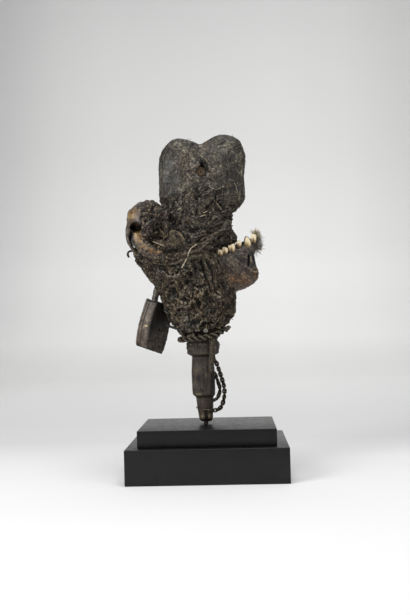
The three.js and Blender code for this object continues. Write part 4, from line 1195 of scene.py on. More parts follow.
def side_frames(path):
    """Two directions across the path at each point, carried along without twist."""
    ahead = np.gradient(path, axis=0)
    ahead /= np.linalg.norm(ahead, axis=1)[:, None] + 1e-12
    across = np.cross(ahead[0], (0.31, 0.17, 0.93))
    across /= np.linalg.norm(across)
    firsts = []
    for direction in ahead:
        across = across - direction * (across @ direction)
        across /= np.linalg.norm(across)
        firsts.append(across.copy())
    firsts = np.array(firsts)
    return firsts, np.cross(ahead, firsts)


def twisted(path, apart, lay, strands=2, phase=0.0):
    """Splits one path into strands that wind round it once in every lay."""
    step = np.linalg.norm(path[1] - path[0])
    firsts, seconds = side_frames(path)
    made = []
    for strand in range(strands):
        angle = phase + 2 * math.pi * strand / strands + 2 * math.pi * np.arange(len(path)) * step / lay
        made.append(path + firsts * (np.cos(angle) * apart)[:, None]
            + seconds * (np.sin(angle) * apart)[:, None])
    return made


def strands_piece(name, strands, thick, finish, slot, *nodes, round_steps=0, taper=True):
    """One mesh of many strands. thick is each strand's radius in mm, or one for all."""
    curve = bpy.data.curves.new(name, "CURVE")
    curve.dimensions = "3D"
    curve.bevel_depth = 1.0
    curve.bevel_resolution = round_steps
    curve.use_fill_caps = True
    for number, strand in enumerate(strands):
        spline = curve.splines.new("POLY")
        spline.points.add(len(strand) - 1)
        flat = np.ones((len(strand), 4))
        flat[:, :3] = np.array(strand) * MM
        spline.points.foreach_set("co", flat.ravel())
        radius = (thick[number] if isinstance(thick, list) else thick) * MM
        widths = np.full(len(strand), radius)
        if taper:
            widths[0] *= 0.55
            widths[-1] *= 0.35
        spline.points.foreach_set("radius", widths)
    piece = bpy.data.objects.new(name, curve)
    bpy.context.scene.collection.objects.link(piece)
    only(piece)
    bpy.ops.object.convert(target="MESH")
    piece = bpy.context.object
    smooth(piece, 80)
    return settle(piece, finish, slot, *nodes)

# %% [markdown]
# An old padlock hangs on the left by its shackle. Its two wide faces are plates that stand
# proud of the body between them, and its sides bulge like a barrel. The solid already has
# this form, so the piece is remeshed finely from it and then rusted. Edges stay crisp on
# the narrow side, and the wide face that turns to the bundle is pitted and painted dark as shade.

# %% Padlock body
LOCK_PLACE = Matrix.Translation(Vector((-60.9, 2, 172.7)) * MM)
LOCK_PLACE @= Matrix.Rotation(math.radians(13.1), 4, "Y") @ Matrix.Rotation(math.radians(-8), 4, "X")
LOCK_PLACE @= Matrix.Rotation(math.radians(-27.5), 4, "Z")

lock = from_solid("padlock_body", "iron_padlock")
even_skin(lock, 0.42, 1)
clean_lock = points_of(lock)
own_lock = clean_lock @ np.array(LOCK_PLACE.inverted().to_3x3()).T
own_lock += np.array(LOCK_PLACE.inverted().translation)
x_lock, y_lock, z_lock = own_lock.T / MM
fuller_lock = np.stack((0.12 * x_lock, 0 * x_lock,
    (1.0 - 0.14 * x_lock) * np.clip(z_lock / 20, 0, 1)
    - (1.2 + 0.16 * x_lock) * np.clip(-z_lock / 20, 0, 1)), axis=1) * MM
grown_lock = clean_lock + fuller_lock @ np.array(LOCK_PLACE.to_3x3()).T
face_share = np.clip((x_lock - 5.6) / 0.6, 0, 1)
low_share = np.clip((4 - z_lock + 0.5 * y_lock) / 10, 0, 1) * face_share
wear = ridged(clean_lock, 210, 0.3 * MM, 2.9) + ridged(clean_lock, 700, 0.12 * MM, 7.2)
wear += ridged(clean_lock, 380, 0.9 * MM, 4.1) * (0.15 + 0.85 * low_share)
set_points(lock, grown_lock + normals_of(lock) * (wear + 0.25 * MM)[:, None])
roughen(lock, "CLOUDS", 0.9, 0.12, noise_depth=3)
keep_relief(lock, grown_lock)
# The plates' seams are dark joints; the bands along the bottom edge and at the top by the shackle are
# painted shade.
seam = np.exp(-((x_lock + 2.9) / 0.7) ** 2) + 0.6 * np.exp(-((x_lock - 4.6) / 0.6) ** 2)
seam = np.maximum(seam, np.exp(-((z_lock - z_lock.min()) / 1.6) ** 2) * (x_lock < 2))
seam = np.maximum(seam, np.clip((z_lock - z_lock.max() + 3.6) / 1.2, 0, 1) * (np.abs(x_lock) < 5))
keep_layers(lock, wide_face=face_share, pitted=low_share, down=0.5 - z_lock / 50, seam=seam)
smooth(lock, 40)

# %% [markdown]
# Iron that has rusted and been handled is brown grey on its narrow side. The wide face,
# turned away from the light, is painted nearly black as shade. It hardly mirrors any more,
# so it is only slightly metallic. The seams of the plates are painted dark, and so, as
# painted shade, are a band along the bottom edge, one at the top by the shackle and the
# low places.

# %% Finish of the padlock
worn_iron = Finish("worn_iron", roughness=0.5, metallic=0.2, specular=0.4)
rust_broad = worn_iron.noise(7, 4, 0.65, 0.4)
rust_fine = worn_iron.noise(1.6, 5, 0.72)
rust_mix = worn_iron.sum((rust_broad, 0.45), (rust_fine, 0.55))
grey_iron = worn_iron.ramp(rust_mix, (0.38, 66, 60, 53), (0.48, 106, 99, 90), (0.56, 126, 119, 108),
    (0.68, 158, 149, 134))
brown_iron = worn_iron.ramp(rust_mix, (0.38, 50, 39, 32), (0.48, 86, 72, 62), (0.56, 104, 90, 79),
    (0.68, 138, 118, 96))
shaded_iron = worn_iron.ramp(rust_mix, (0.4, 16, 13, 10), (0.52, 38, 32, 28), (0.66, 72, 64, 56))
pitted_iron = worn_iron.ramp(rust_mix, (0.4, 26, 21, 17), (0.5, 66, 57, 50), (0.62, 104, 93, 82))
iron_tone = worn_iron.blend("down", grey_iron, brown_iron)
# The wide face is painted nearly black: painted shade on the side turned from the light.
iron_tone = worn_iron.blend("wide_face", iron_tone, shaded_iron)
iron_tone = worn_iron.blend("pitted", iron_tone, pitted_iron)
iron_tone = worn_iron.blend("seam", iron_tone, (18, 14, 11))
# Low places of the relief are painted darker: painted shade.
worn_iron.colour(worn_iron.blend(
    worn_iron.span("relief", 0.12, 0.4, 0.6, 0.0), iron_tone, (30, 22, 17)))
worn_iron.gloss(worn_iron.span(rust_fine, 0.3, 0.7, 0.66, 0.5))
worn_iron.bump(worn_iron.sum((rust_fine, 0.7), (worn_iron.noise(0.6, 3), 0.3)), 0.25, 0.6)
settle(lock, worn_iron, "lock_iron", "padlock_body")

# %% [markdown]
# On the narrow side that faces the viewer sits a small brass bar, and three iron rivets
# hold each plate. One dome is modelled, and every copy gets its own mesh, turned with the
# lock.

# %% Brass bar and rivets
rubbed_brass = plain_finish("rubbed_brass", (0.8, 4, 0.7), [(0.35, 128, 114, 82), (0.65, 200, 184, 146)],
    (0.5, 3), 0.06, 0.5, roughness=0.35, metallic=0.7)


def dome(name, radius, stretch, place, metal, slot, segments=20):
    """A small ball, squashed by stretch and moved to its place by a matrix."""
    deselect()
    bpy.ops.mesh.primitive_uv_sphere_add(segments=segments, ring_count=segments // 2, radius=radius * MM)
    piece = edit_all(added(name), lambda: bpy.ops.transform.resize(
        value=stretch, center_override=(0, 0, 0)))
    piece.data.transform(place)
    settle(smooth(piece, 60), metal, slot)


def on_lock(x, y, z):
    """A place in the padlock's own frame, in mm."""
    return LOCK_PLACE @ Matrix.Translation(Vector((x, y, z)) * MM)


dome("lock_side_bar", 1.4, (2.3, 0.45, 0.8), on_lock(1.8, -20.2, -3.4), rubbed_brass, "lock_iron")
for number, (rivet_y, rivet_z) in enumerate(((-11, 20), (11, 20), (0, -21)), 1):
    for side, rivet_x in (("near", 8.0), ("far", -8.0)):
        dome(f"lock_rivet_{side}_{number}", 1.3, (0.4, 1, 1), on_lock(rivet_x, rivet_y, rivet_z), worn_iron,
            "lock_iron")

# %% [markdown]
# The shackle is a bent iron rod. Its solid is a tube of few sides, so the piece is swept
# again along the same arch with a round section, and gets the wear of the body.

# %% Shackle
SHACKLE_RADIUS, SHACKLE_HALF, SHACKLE_FOOT, SHACKLE_TOP = 3.4, 11.0, 20.4, 53.2
arch_foot = SHACKLE_TOP - SHACKLE_HALF
arch_path = [(0, -SHACKLE_HALF, SHACKLE_FOOT), (0, -SHACKLE_HALF, arch_foot)]
arch_path += [(0, -SHACKLE_HALF * math.cos(a), arch_foot + SHACKLE_HALF * math.sin(a))
    for a in np.linspace(0, math.pi, 25)[1:-1]]
arch_path += [(0, SHACKLE_HALF, arch_foot), (0, SHACKLE_HALF, SHACKLE_FOOT)]
shackle_path = [LOCK_PLACE @ (Vector(p) * MM) / MM for p in arch_path]
shackle_iron = Finish("shackle_iron", roughness=0.48, metallic=0.25)
shackle_rust = shackle_iron.noise(2.2, 5, 0.7, place=shackle_iron.stretched(1, 1, 0.35))
shackle_iron.colour(shackle_iron.ramp(shackle_rust, (0.34, 30, 24, 20), (0.47, 68, 62, 56),
    (0.58, 98, 91, 82), (0.7, 132, 121, 104)))
shackle_iron.bump(shackle_rust, 0.25, 0.7)
shackle = strands_piece("iron_shackle", [even_path(shackle_path, 1.2)], SHACKLE_RADIUS + 0.25,
    shackle_iron, "lock_iron", "padlock_shackle", round_steps=6, taper=False)
push_out(shackle, ridged(points_of(shackle), 260, 0.4 * MM, 5.5))

# %% [markdown]
# A two-ply rope of plant fibre is wound round the neck, where the post enters the bundle.
# Each ply is itself three yarns, so six strands are drawn: the route is split into two
# plies that wind round it, and each ply into three yarns that wind the other way. The rope
# is caught in the bundle at both ends, so none of it hangs free.

# %% Neck rope
ROPE_ROUTE = [(25.6, -9.5, 168.2), (22.5, -13, 166.8), (16, -18, 163.8), (6, -22.2, 160.2),
    (-7, -23.6, 158.0), (-19, -20.8, 157.2), (-28.3, -12.5, 156.4), (-29.6, -2, 156.8), (-24.5, 11, 156.8),
    (-12, 19, 157.5), (3, 20.5, 158.4), (12, 15, 158.8)]
ROPE_APART, ROPE_LAY, ROPE_PHASE = 1.95, 14.0, 0.6
YARN_APART, YARN_LAY = 0.66, 6.5

rope_fibre, yarn_tone = two_tone_finish(
    "rope_fibre", (1.7, 4, 0.7), [(0.38, 28, 24, 20), (0.5, 72, 65, 55), (0.62, 112, 101, 84)],
    [(0.38, 38, 34, 28), (0.52, 90, 82, 70), (0.64, 136, 122, 100)], (0.8, 4, 0.7), 0.35, 0.8,
    roughness=0.8, specular=0.3)
# Near the core the yarns are painted nearly black: painted shade where the plies press together.
rope_fibre.colour(rope_fibre.blend("outer", (8, 6, 5), yarn_tone))

rope_core = even_path(ROPE_ROUTE, 1.0)
rope_yarns = []
for ply in twisted(rope_core, ROPE_APART, ROPE_LAY, 2, phase=ROPE_PHASE):
    rope_yarns += twisted(ply, YARN_APART, -YARN_LAY, 3)
neck_rope = strands_piece("neck_rope", rope_yarns, 1.02, rope_fibre, "rope_fibre", "neck_rope",
    round_steps=1)
# Points close to the core get a low outer share, which the finish paints as shade.
rope_reach = np.min(np.linalg.norm(points_of(neck_rope)[:, None] / MM - rope_core[None], axis=2), axis=1)
keep_layers(neck_rope, outer=(rope_reach - 1.9) / 1.4)

knot_turns = np.linspace(0, 2.7 * math.pi, 26)
knot_reach = np.linspace(2.5, 0.5, 26)
rope_knot = np.stack((26.2 + knot_reach * np.cos(knot_turns), -12.6 - knot_turns * 0.18,
    168.6 + knot_reach * np.sin(knot_turns)), axis=1)
knot = strands_piece("rope_end_knot", [rope_knot], 1.15, rope_fibre, "rope_fibre", round_steps=2)
keep_layers(knot, outer=np.full(len(knot.data.vertices), 0.9))

# %% [markdown]
# A flat thong comes down from the rope over the collar and ends against the shaft. It is
# drawn as four yarns side by side that taper together.

# %% Thong on the collar
STRAP_ROUTE = [(6.8, -20.6, 157), (8, -18.6, 149), (7.6, -17.4, 142), (7, -14.4, 137.2), (6.6, -12.6, 133),
    (5.7, -11.4, 127), (5.2, -11.0, 118)]
strap_path = even_path(STRAP_ROUTE, 1.0)
strap_narrow = np.interp(strap_path[:, 2], [118, 130, 133, 137, 158], [0.62, 0.85, 1.25, 1.0, 1.1])[:, None]
strap_yarns = []
for shift_x, shift_y, twist_turn in ((-2.2, 0.4, 0.0), (0.0, -0.7, 1.2), (2.2, 0.3, 2.4), (0.5, 1.0, 3.6)):
    wave_along = 0.35 * np.sin(np.arange(len(strap_path)) * 0.45 + twist_turn)[:, None]
    offset = np.array((shift_x, shift_y, 0.0)) * strap_narrow + wave_along * np.array((0.6, 0.5, 0.0))
    strap_yarns.append(strap_path + offset)
thong = strands_piece("collar_thong", strap_yarns, [1.45, 1.5, 1.4, 1.4], rope_fibre,
    "rope_fibre", "post_strap", round_steps=2)
keep_layers(thong, outer=np.full(len(thong.data.vertices), 0.72))

# %% [markdown]
# Two fine chains hang from the collar on the right, a long one that swings back in to the
# tip and a short one inside it. One link is modelled from a torus that is pulled long and
# given a slight twist. It is then copied along each route, each link turned a right angle
# from the last, so that every link really passes through its neighbours.

# %% Chains
LONG_ROUTE = [(10.6, -6, 131), (12.6, -6.2, 125), (15, -6.4, 118), (17, -6.4, 111), (19, -6.4, 104),
    (19.9, -6.4, 97), (19.4, -6.4, 89), (17.4, -6.6, 81.5), (13.6, -7.2, 75.6), (8.9, -7.7, 74)]
SHORT_ROUTE = [(9.6, -13.4, 116.5), (11, -10.9, 112), (12.6, -8.8, 107), (14.3, -7.8, 101.5),
    (14.6, -7.6, 96.5), (13.4, -7.6, 92), (11.2, -7.7, 87.6), (8.9, -8.1, 86.3)]
LINK_PITCH, LINK_WIRE, LINK_HALF = 3.3, 0.92, 1.85

tarnished = plain_finish("tarnished_chain", (1.2, 5, 0.7),
    [(0.38, 10, 8, 7), (0.52, 42, 35, 27), (0.66, 98, 86, 66)], (0.5, 4), 0.1, 0.6, roughness=0.45,
    metallic=0.65)
tarnished.gloss(tarnished.span(tarnished.noise(1.2, 5, 0.7), 0.3, 0.7, 0.65, 0.38))


def chain_of_links(name, route, node):
    path = even_path(route, LINK_PITCH)
    firsts, seconds = side_frames(path)
    ahead = np.cross(firsts, seconds)
    corners, faces = [], []
    deselect()
    bpy.ops.mesh.primitive_torus_add(major_radius=LINK_HALF * MM, minor_radius=LINK_WIRE * MM,
        major_segments=14, minor_segments=6)
    link = added("one_link")
    shape = points_of(link) / MM
    stretch = LINK_PITCH / 2 + LINK_WIRE - LINK_HALF + 0.1
    shape[:, 0] += np.sign(shape[:, 0]) * stretch * np.clip(np.abs(shape[:, 0]) / 0.7, 0, 1)
    link_faces = [list(p.vertices) for p in link.data.polygons]
    bpy.data.objects.remove(link)
    for number, centre in enumerate(path):
        turn = math.radians(90 * (number % 2) + 22 * math.sin(number * 1.3))
        wide = firsts[number] * math.cos(turn) + seconds[number] * math.sin(turn)
        deep = np.cross(ahead[number], wide)
        start = len(corners)
        corners += list(centre + shape[:, :1] * ahead[number] + shape[:, 1:2] * wide + shape[:, 2:] * deep)
        faces += [[start + i for i in face] for face in link_faces]
    piece = edit_all(mesh_piece(name, corners, faces),
        lambda: bpy.ops.mesh.remove_doubles(threshold=0.01 * MM),
        lambda: bpy.ops.mesh.normals_make_consistent(inside=False))
    print(len(path), "links, one every", LINK_PITCH, "mm")
    settle(smooth(piece, 60), tarnished, "chain_metal", node)


chain_of_links("long_chain", LONG_ROUTE, "chain_long")
chain_of_links("short_chain", SHORT_ROUTE, "chain_short")

# %% [markdown]
# A thin wire goes round the tip and catches the long chain. Its two ends are sunk in the
# wood at the front, so it is swept along a bent arc that leaves the left front bare.

# %% Wire round the tip
RING_RADIUS, RING_TILT = 10.6, 0.16
ring_wire = plain_finish("ring_wire", (1.5, 4, 0.7), [(0.35, 60, 51, 40), (0.65, 138, 126, 104)], (0.5, 3),
    0.08, 0.5, roughness=0.4, metallic=0.6)
ring_path = []
for angle in np.linspace(-1.75, 3.6, 66):
    x, y = RING_RADIUS * math.cos(angle), RING_RADIUS * math.sin(angle)
    rise = 0.25 * math.sin(3 * angle)
    ring_path.append((x * math.cos(RING_TILT) - 2.9, y, 75.2 - x * math.sin(RING_TILT) + rise))
strands_piece("tip_wire", [np.array(ring_path)], 0.62, ring_wire, "ring_wire", "tip_ring", round_steps=2)

# %% [markdown]
# Small things are caught in the bundle: a twig between it and the padlock, a hooked twig
# on the skull's side, a pale bead sunk in a pit above the rope, and a small nail in the
# shaft. Twigs are swept along their bends with a rough bark; the bead is a pierced egg.

# %% Twigs
bark = Finish("smoked_bark", roughness=0.75)
bark_lines = bark.noise(0.9, 5, 0.7)
bark.colour(bark.ramp(bark_lines, (0.35, 24, 20, 17), (0.6, 56, 48, 40), (0.75, 90, 78, 62)))
bark.bump(bark_lines, 0.25, 0.8)
TWIGS = {
    "tie_stick": ([(-46, -4, 174), (-38, -8, 171), (-31, -11, 168.6), (-24, -13, 167)], 1.45),
    "hooked_twig": ([(-79, -10, 260.9), (-84.3, -10, 261.2), (-87.4, -10.5, 260), (-88.3, -11, 257),
            (-87.1, -11, 253.4)], 1.25),
}
for twig_name, (twig_route, twig_radius) in TWIGS.items():
    twig = strands_piece("bark_" + twig_name, [even_path(twig_route, 0.7)], twig_radius, bark,
        "dark_twig", twig_name, round_steps=4)
    push_out(twig, ridged(points_of(twig), 700, 0.35 * MM, 2.0))

# %% [markdown]
# The bead is a torus with a small hole, rounded once, and its glass has gone dull. The
# nail's head is the same dome as a rivet, set where a ray from the front meets the shaft.

# %% Bead and nail
bead_low, bead_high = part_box("glass_bead")
bead_centre = (bead_low + bead_high) / 2
deselect()
bpy.ops.mesh.primitive_torus_add(major_radius=1.55 * MM, minor_radius=1.2 * MM, major_segments=36,
    minor_segments=18, rotation=(math.radians(82), math.radians(24), 0),
    location=bead_centre)
bead = added("pale_bead")
modify(bead, "SUBSURF", levels=1, render_levels=1)
smooth(bead, 80)
old_glass = plain_finish("dull_glass", (1.2, 4, 0.6), [(0.38, 50, 46, 42), (0.62, 134, 128, 119)], (0.6, 3),
    0.08, 0.4, roughness=0.28, specular=0.6)
settle(bead, old_glass, "bead_glass", "glass_bead")

NAIL_X, NAIL_Z = -2.3, 124.0
nail_seat = tree_of(post).ray_cast(Vector((NAIL_X, -100, NAIL_Z)) * MM, Vector((0, 1, 0)))[0]
dome("shaft_nail", 1.1, (0.9, 0.55, 1.25), Matrix.Translation(nail_seat), shackle_iron, "ring_wire",
    segments=16)

# %% [markdown]
# Cords bind the bundle in many turns. The ones that the viewer sees are listed: each
# route is a few points of x and z on the front, dropped onto the skin by a ray. Others
# run round the back at a slant. All are two plies that are half sunk in the crust.

# %% Cords on the front
# radius of a ply, then x and z of each point
FRONT_CORDS = [
    (1.2, [(-64, 254), (-52, 250), (-38, 249), (-24, 252), (-10, 256), (2, 257)]),
    (1.1, [(-58, 246), (-46, 243.5), (-30, 244), (-14, 249), (0, 252)]),
    (1.0, [(-36, 262), (-24, 262.5), (-10, 264.5), (4, 267), (16, 270)]),
    (0.9, [(30, 282), (22, 280), (14, 275.5), (6, 268)]),
    (0.8, [(32, 277), (25, 274.5), (17, 269), (8, 261)]),
    (0.7, [(29, 290), (20, 289), (12, 285), (3, 283)]),
    (0.7, [(30, 297), (22, 294), (10, 292)]),
    (1.1, [(2, 258), (7, 247), (12, 234), (17, 220), (23, 207)]),
    (1.0, [(9, 256), (15, 243), (20, 230), (27, 214)]),
    (0.9, [(-3, 254), (3, 240), (7, 224), (10, 208)]),
    (0.9, [(16, 252), (21, 241), (25, 228), (29, 216)]),
    (0.8, [(36, 306), (26, 301), (14, 299), (2, 297)]),
    (0.9, [(-14, 320), (-9, 309), (-9, 298)]),
    (0.9, [(13, 319), (5, 311), (-1, 303)]),
    (0.9, [(-58, 236), (-48, 230), (-34, 226), (-20, 225), (-8, 227)]),
    (0.8, [(-44, 204), (-30, 198), (-14, 196)]),
    (0.9, [(34, 214), (28, 205), (24, 194), (20, 184)]),
    (1.0, [(-34, 174), (-22, 171), (-8, 169.5)]),
    (0.7, [(-10, 322), (1, 324.5), (14, 326)]), (0.7, [(17, 328), (25, 330), (35, 332.5)]),
    (0.5, [(16, 331), (26, 333.5)]), (0.65, [(-5.5, 303), (-1, 309.5), (5.5, 315), (12, 320.5)]),
    (0.6, [(-16, 312), (-14, 320), (-9, 327)]), (0.55, [(24, 322), (14, 312), (10, 304)]),
]


def drape(points, tree, above):
    """Drops a smooth line onto the nearest skin, a little above it."""
    laid = []
    for point in points:
        skin, outward, *_ = tree.find_nearest(Vector(point) * MM, DRAPE_REACH * MM)
        laid.append(point if skin is None else skin / MM + outward * above)
    laid = np.array(laid)
    for _ in range(2):
        laid[1:-1] = (laid[:-2] + 2 * laid[1:-1] + laid[2:]) / 4
    return laid


sooty_cord, _ = two_tone_finish(
    "sooty_cord", (2.2, 4, 0.7), [(0.36, 16, 13, 11), (0.5, 48, 42, 35), (0.62, 92, 82, 66)],
    [(0.36, 26, 23, 20), (0.5, 74, 68, 59), (0.62, 122, 111, 93)], (0.9, 4, 0.7), 0.35, 0.9,
    roughness=0.85, specular=0.25)
cord_draw = random.Random(11)


def plies(path, radius):
    """Two plies wound round a path, each with its own radius beside it."""
    phase = cord_draw.random() * 6
    return [(ply, radius * 0.85) for ply in twisted(path, radius * 0.72, radius * 7.5, 2, phase=phase)]


front_plies = []
for ply_radius, route in FRONT_CORDS:
    path = even_path([from_front(x, z) for x, z in route], 1.3)
    front_plies += plies(drape(path, carrier_tree, above=ply_radius * 0.3), ply_radius)
strands_piece("front_cords", *map(list, zip(*front_plies)), sooty_cord, "crust", round_steps=1)

# %% [markdown]
# The back can't be seen in the photograph. Such bundles are bound all round, so cords with
# a seeded slant and length are wound over it, from the shaft up to the board.

# %% Windings round the back
WINDINGS, LOWEST_WINDING, WINDING_SPAN = 34, 172, 132
back_plies = []
for number in range(WINDINGS):
    foot = LOWEST_WINDING + (number / WINDINGS) ** 0.9 * WINDING_SPAN + cord_draw.uniform(-4, 4)
    slant = cord_draw.uniform(-16, 16)
    begin = cord_draw.uniform(70, 150)
    reach = cord_draw.uniform(70, 150)
    ply_radius = cord_draw.uniform(0.8, 1.45)
    route = []
    for share in np.linspace(0, 1, 9):
        angle = begin + share * reach
        z = foot + slant * math.sin((share - 0.5) * 2.4) + cord_draw.uniform(-1.5, 1.5)
        place = from_side(angle, z)
        if place is not None:
            route.append(place)
    if len(route) < 4:
        continue
    back_plies += plies(drape(even_path(route, 1.5), bundle_tree, above=ply_radius * 0.5), ply_radius)
strands_piece("back_windings", *map(list, zip(*back_plies)), sooty_cord, "crust", round_steps=1)

# %% [markdown]
# Between the cords the crust is full of short stiff fibres and of crumbs. Each fibre starts
# at a random place on the skin and feels its way along it, step by step. Where cloth and
# cord once ran, the fibres follow one direction; elsewhere they lie every way.

# %% Fibres over the bundle
fibre_rng = np.random.default_rng(5)
CREEP_STEP = 2.0


def skin_places(piece, count, wanted):
    """Random places on a mesh, spread by area, with the outward direction of each."""
    faces = piece.data.polygons
    centres, outward, areas = np.empty((len(faces), 3)), np.empty((len(faces), 3)), np.empty(len(faces))
    for name, values in (("center", centres), ("normal", outward), ("area", areas)):
        faces.foreach_get(name, values.reshape(-1))
    if wanted is not None:
        areas = areas * wanted(centres / MM)
    picks = fibre_rng.choice(len(areas), size=count, p=areas / areas.sum())
    shift = fibre_rng.normal(0, 0.4 * MM, (count, 3))
    return (centres[picks] + shift) / MM, outward[picks]


def flow_at(place):
    """The direction that fibres follow at a place, and how strictly they keep to it."""
    best, way = 0.0, None
    if place[1] < FLOW_DEPTH:
        for flow in FLOWS:
            share = float(flow_share(place[0], place[2], flow))
            if share > best:
                best, way = share, np.array((flow[4][0], 0, flow[4][1]), float)
    return best, way


def creep(place, outward, length, tree, turn, above, rise, follow):
    """A strand that feels its way along the skin from a place."""
    rng = fibre_rng
    direction = np.cross(outward, rng.normal(size=3))
    share, way = flow_at(place) if follow else (0.0, None)
    if way is not None and rng.random() < share * 0.85:
        direction = way * rng.choice((-1, 1)) + rng.normal(0, 0.22, 3)
        turn = turn * 0.35
        length *= 1.2
    direction -= outward * (direction @ outward)
    direction /= np.linalg.norm(direction) + 1e-9
    point, path = np.array(place, float), []
    count = max(3, int(length / CREEP_STEP) + 1)
    for number in range(count):
        found = tree.find_nearest(Vector(point) * MM, 12 * MM)
        if found[0] is None:
            break
        outward = np.array(found[1])
        lift = above + rise * (number / (count - 1)) ** 2
        point = np.array(found[0]) / MM + outward * lift
        path.append(point)
        direction = direction + rng.normal(0, turn, 3)
        direction -= outward * (direction @ outward)
        direction /= np.linalg.norm(direction) + 1e-9
        point = point + direction * CREEP_STEP
    return np.array(path) if len(path) > 2 else None

# %% [markdown]
# Dry fibre has many tones, and each strand keeps its own. The finish therefore asks which
# island of the mesh it is on, and a soft noise lays soot over all of them.

# %% Dry fibres and the cloth's hem
def fibre_finish(name, darkest, middle, light, lightest, soot=0.75):
    """Dry fibre: every strand draws its own tone, and soot darkens it in patches."""
    made = Finish(name, roughness=0.8, specular=0.3)
    made.colour(made.blend(
        made.span(made.noise(3.0, 3, 0.65), 0.42, 0.6, 0.0, soot),
        made.ramp(made.each_strand(), (0.0, *darkest), (0.4, *middle), (0.78, *light),
            (0.97, *lightest)),
        (24, 20, 17)))
    made.bump(made.noise(0.7, 3), 0.1, 0.5)
    return made


dry_fibre = fibre_finish("dry_fibre", (14, 11, 9), (50, 43, 35), (82, 72, 58), (138, 122, 97))
grey_fibre = fibre_finish("grey_fibre", (16, 15, 14), (58, 54, 49), (94, 88, 80), (142, 134, 121))
hem_thread = fibre_finish("hem_thread", (104, 93, 74), (128, 115, 92), (150, 136, 110), (164, 150, 124),
    soot=0.3)

HEM_LINE = [(-45.4, 270.8)] + TENT_LINE[2:-1]
hem_path = drape(even_path([from_front(x, z) for x, z in HEM_LINE], 1.0), carrier_tree, above=0.9)
strands_piece("cloth_hem", [hem_path], 0.55, hem_thread, "crust", round_steps=1)

# %% [markdown]
# A coat is a few hundred to a few thousand strands in one piece. Stronger ones are laid
# first and finer ones over them, with fewer where cloth, bead and rope should stay clear.

# %% Coats of fibre
def fibre_coat(name, count, length, thick, rise, finish, wanted=None, source=bundle, tree=bundle_tree,
               turn=0.5, above=0.2, follow=True, slot="crust"):
    """Covers a piece with creeping strands; length, radius and rise are drawn from their ranges."""
    strands, radii = [], []
    for place, outward in zip(*skin_places(source, count, wanted)):
        strand = creep(place, outward, fibre_rng.uniform(*length), tree, turn, above,
            fibre_rng.uniform(*rise), follow)
        if strand is not None:
            strands.append(strand)
            radii.append(fibre_rng.uniform(*thick))
    strands_piece(name, strands, radii, finish, slot)


def bare_places(centres):
    """Little is laid on the smooth tent by the cheek arch, round the bead and on the rope's seat."""
    x, front, z = centres[:, 0], centres[:, 1] < 0, centres[:, 2]
    on_tent = np.exp(-((x + 34) / 13) ** 2 - ((z - 270) / 9) ** 2) * front
    round_bead = np.exp(-((x - 0.2) / 5) ** 2 - ((z - 167) / 4.5) ** 2) * front
    return (1 - 0.85 * on_tent) * (1 - 0.95 * round_bead) * np.clip((z - 165) / 6, 0.02, 1)


fibre_coat("fibre_mat_coarse", 560, (7, 20), (0.38, 0.62), (0.0, 0.3), dry_fibre, bare_places)
fibre_coat("fibre_mat_fine", 2400, (6, 18), (0.2, 0.38), (0.0, 0.7), dry_fibre, bare_places)
fibre_coat("fibre_mat_grey", 1500, (6, 18), (0.2, 0.38), (0.0, 0.35), grey_fibre,
    lambda c: bare_places(c) * np.clip((c[:, 2] - 240) / 40, 0.12, 1) * (c[:, 1] < 10), turn=0.2)
fibre_coat("neck_strands", 300, (8, 22), (0.5, 0.82), (0.1, 0.5), grey_fibre,
    lambda c: bare_places(c) * np.clip((c[:, 2] - 252) / 16, 0, 1) * (c[:, 1] < 8), turn=0.25)
fibre_coat("low_strands", 330, (6, 17), (0.4, 0.7), (0.1, 0.5), dry_fibre,
    lambda c: bare_places(c) * np.clip((262 - c[:, 2]) / 10, 0, 1) * (c[:, 1] < 8))

# %% [markdown]
# Finer and straighter fibres are stuck to the head board in every direction, and its lower
# part carries the same crust as the bundle. A few lie on the skull and on the jaw.

# %% Fibres on the board and the bones
board_tree = tree_of(board)
board_thread = fibre_finish("board_thread", (12, 10, 9), (52, 48, 42), (96, 89, 77), (158, 149, 130),
    soot=0.5)
fibre_coat("board_fibres", 2600, (4, 15), (0.15, 0.31), (0.0, 0.2), board_thread, None, board, board_tree,
    turn=0.06, above=0.08, follow=False, slot="board_wood")
fibre_coat("board_low_fibres", 1100, (6, 20), (0.2, 0.42), (0.0, 0.5), board_thread,
    lambda c: np.clip((328 - c[:, 2]) / 10, 0, 1), board, board_tree, 0.15, follow=False, slot="board_wood")
fibre_coat("skull_fibres", 170, (4, 11), (0.25, 0.5), (0.0, 0.8), dry_fibre,
    lambda c: np.clip((c[:, 0] + 66) / 8, 0, 1), skull, tree_of(skull), 0.4, follow=False, slot="old_bone")
fibre_coat("jaw_fibres", 150, (4, 12), (0.22, 0.45), (0.0, 0.8), dry_fibre,
    lambda c: np.clip((30 - c[:, 0]) / 6, 0, 1) + 0.04, jaw, tree_of(jaw), 0.3, follow=False,
    slot="jaw_bone")

# %% [markdown]
# Crumbs of earth sit among the fibres. All of one coat are a single mesh: one low ball is
# repeated by numpy with its own turn, size and squash, which is much faster than adding
# thousands of objects.

# %% Crumbs
CLOD_SUNK = 0.3  # the share of a clod's size that is sunk in the skin


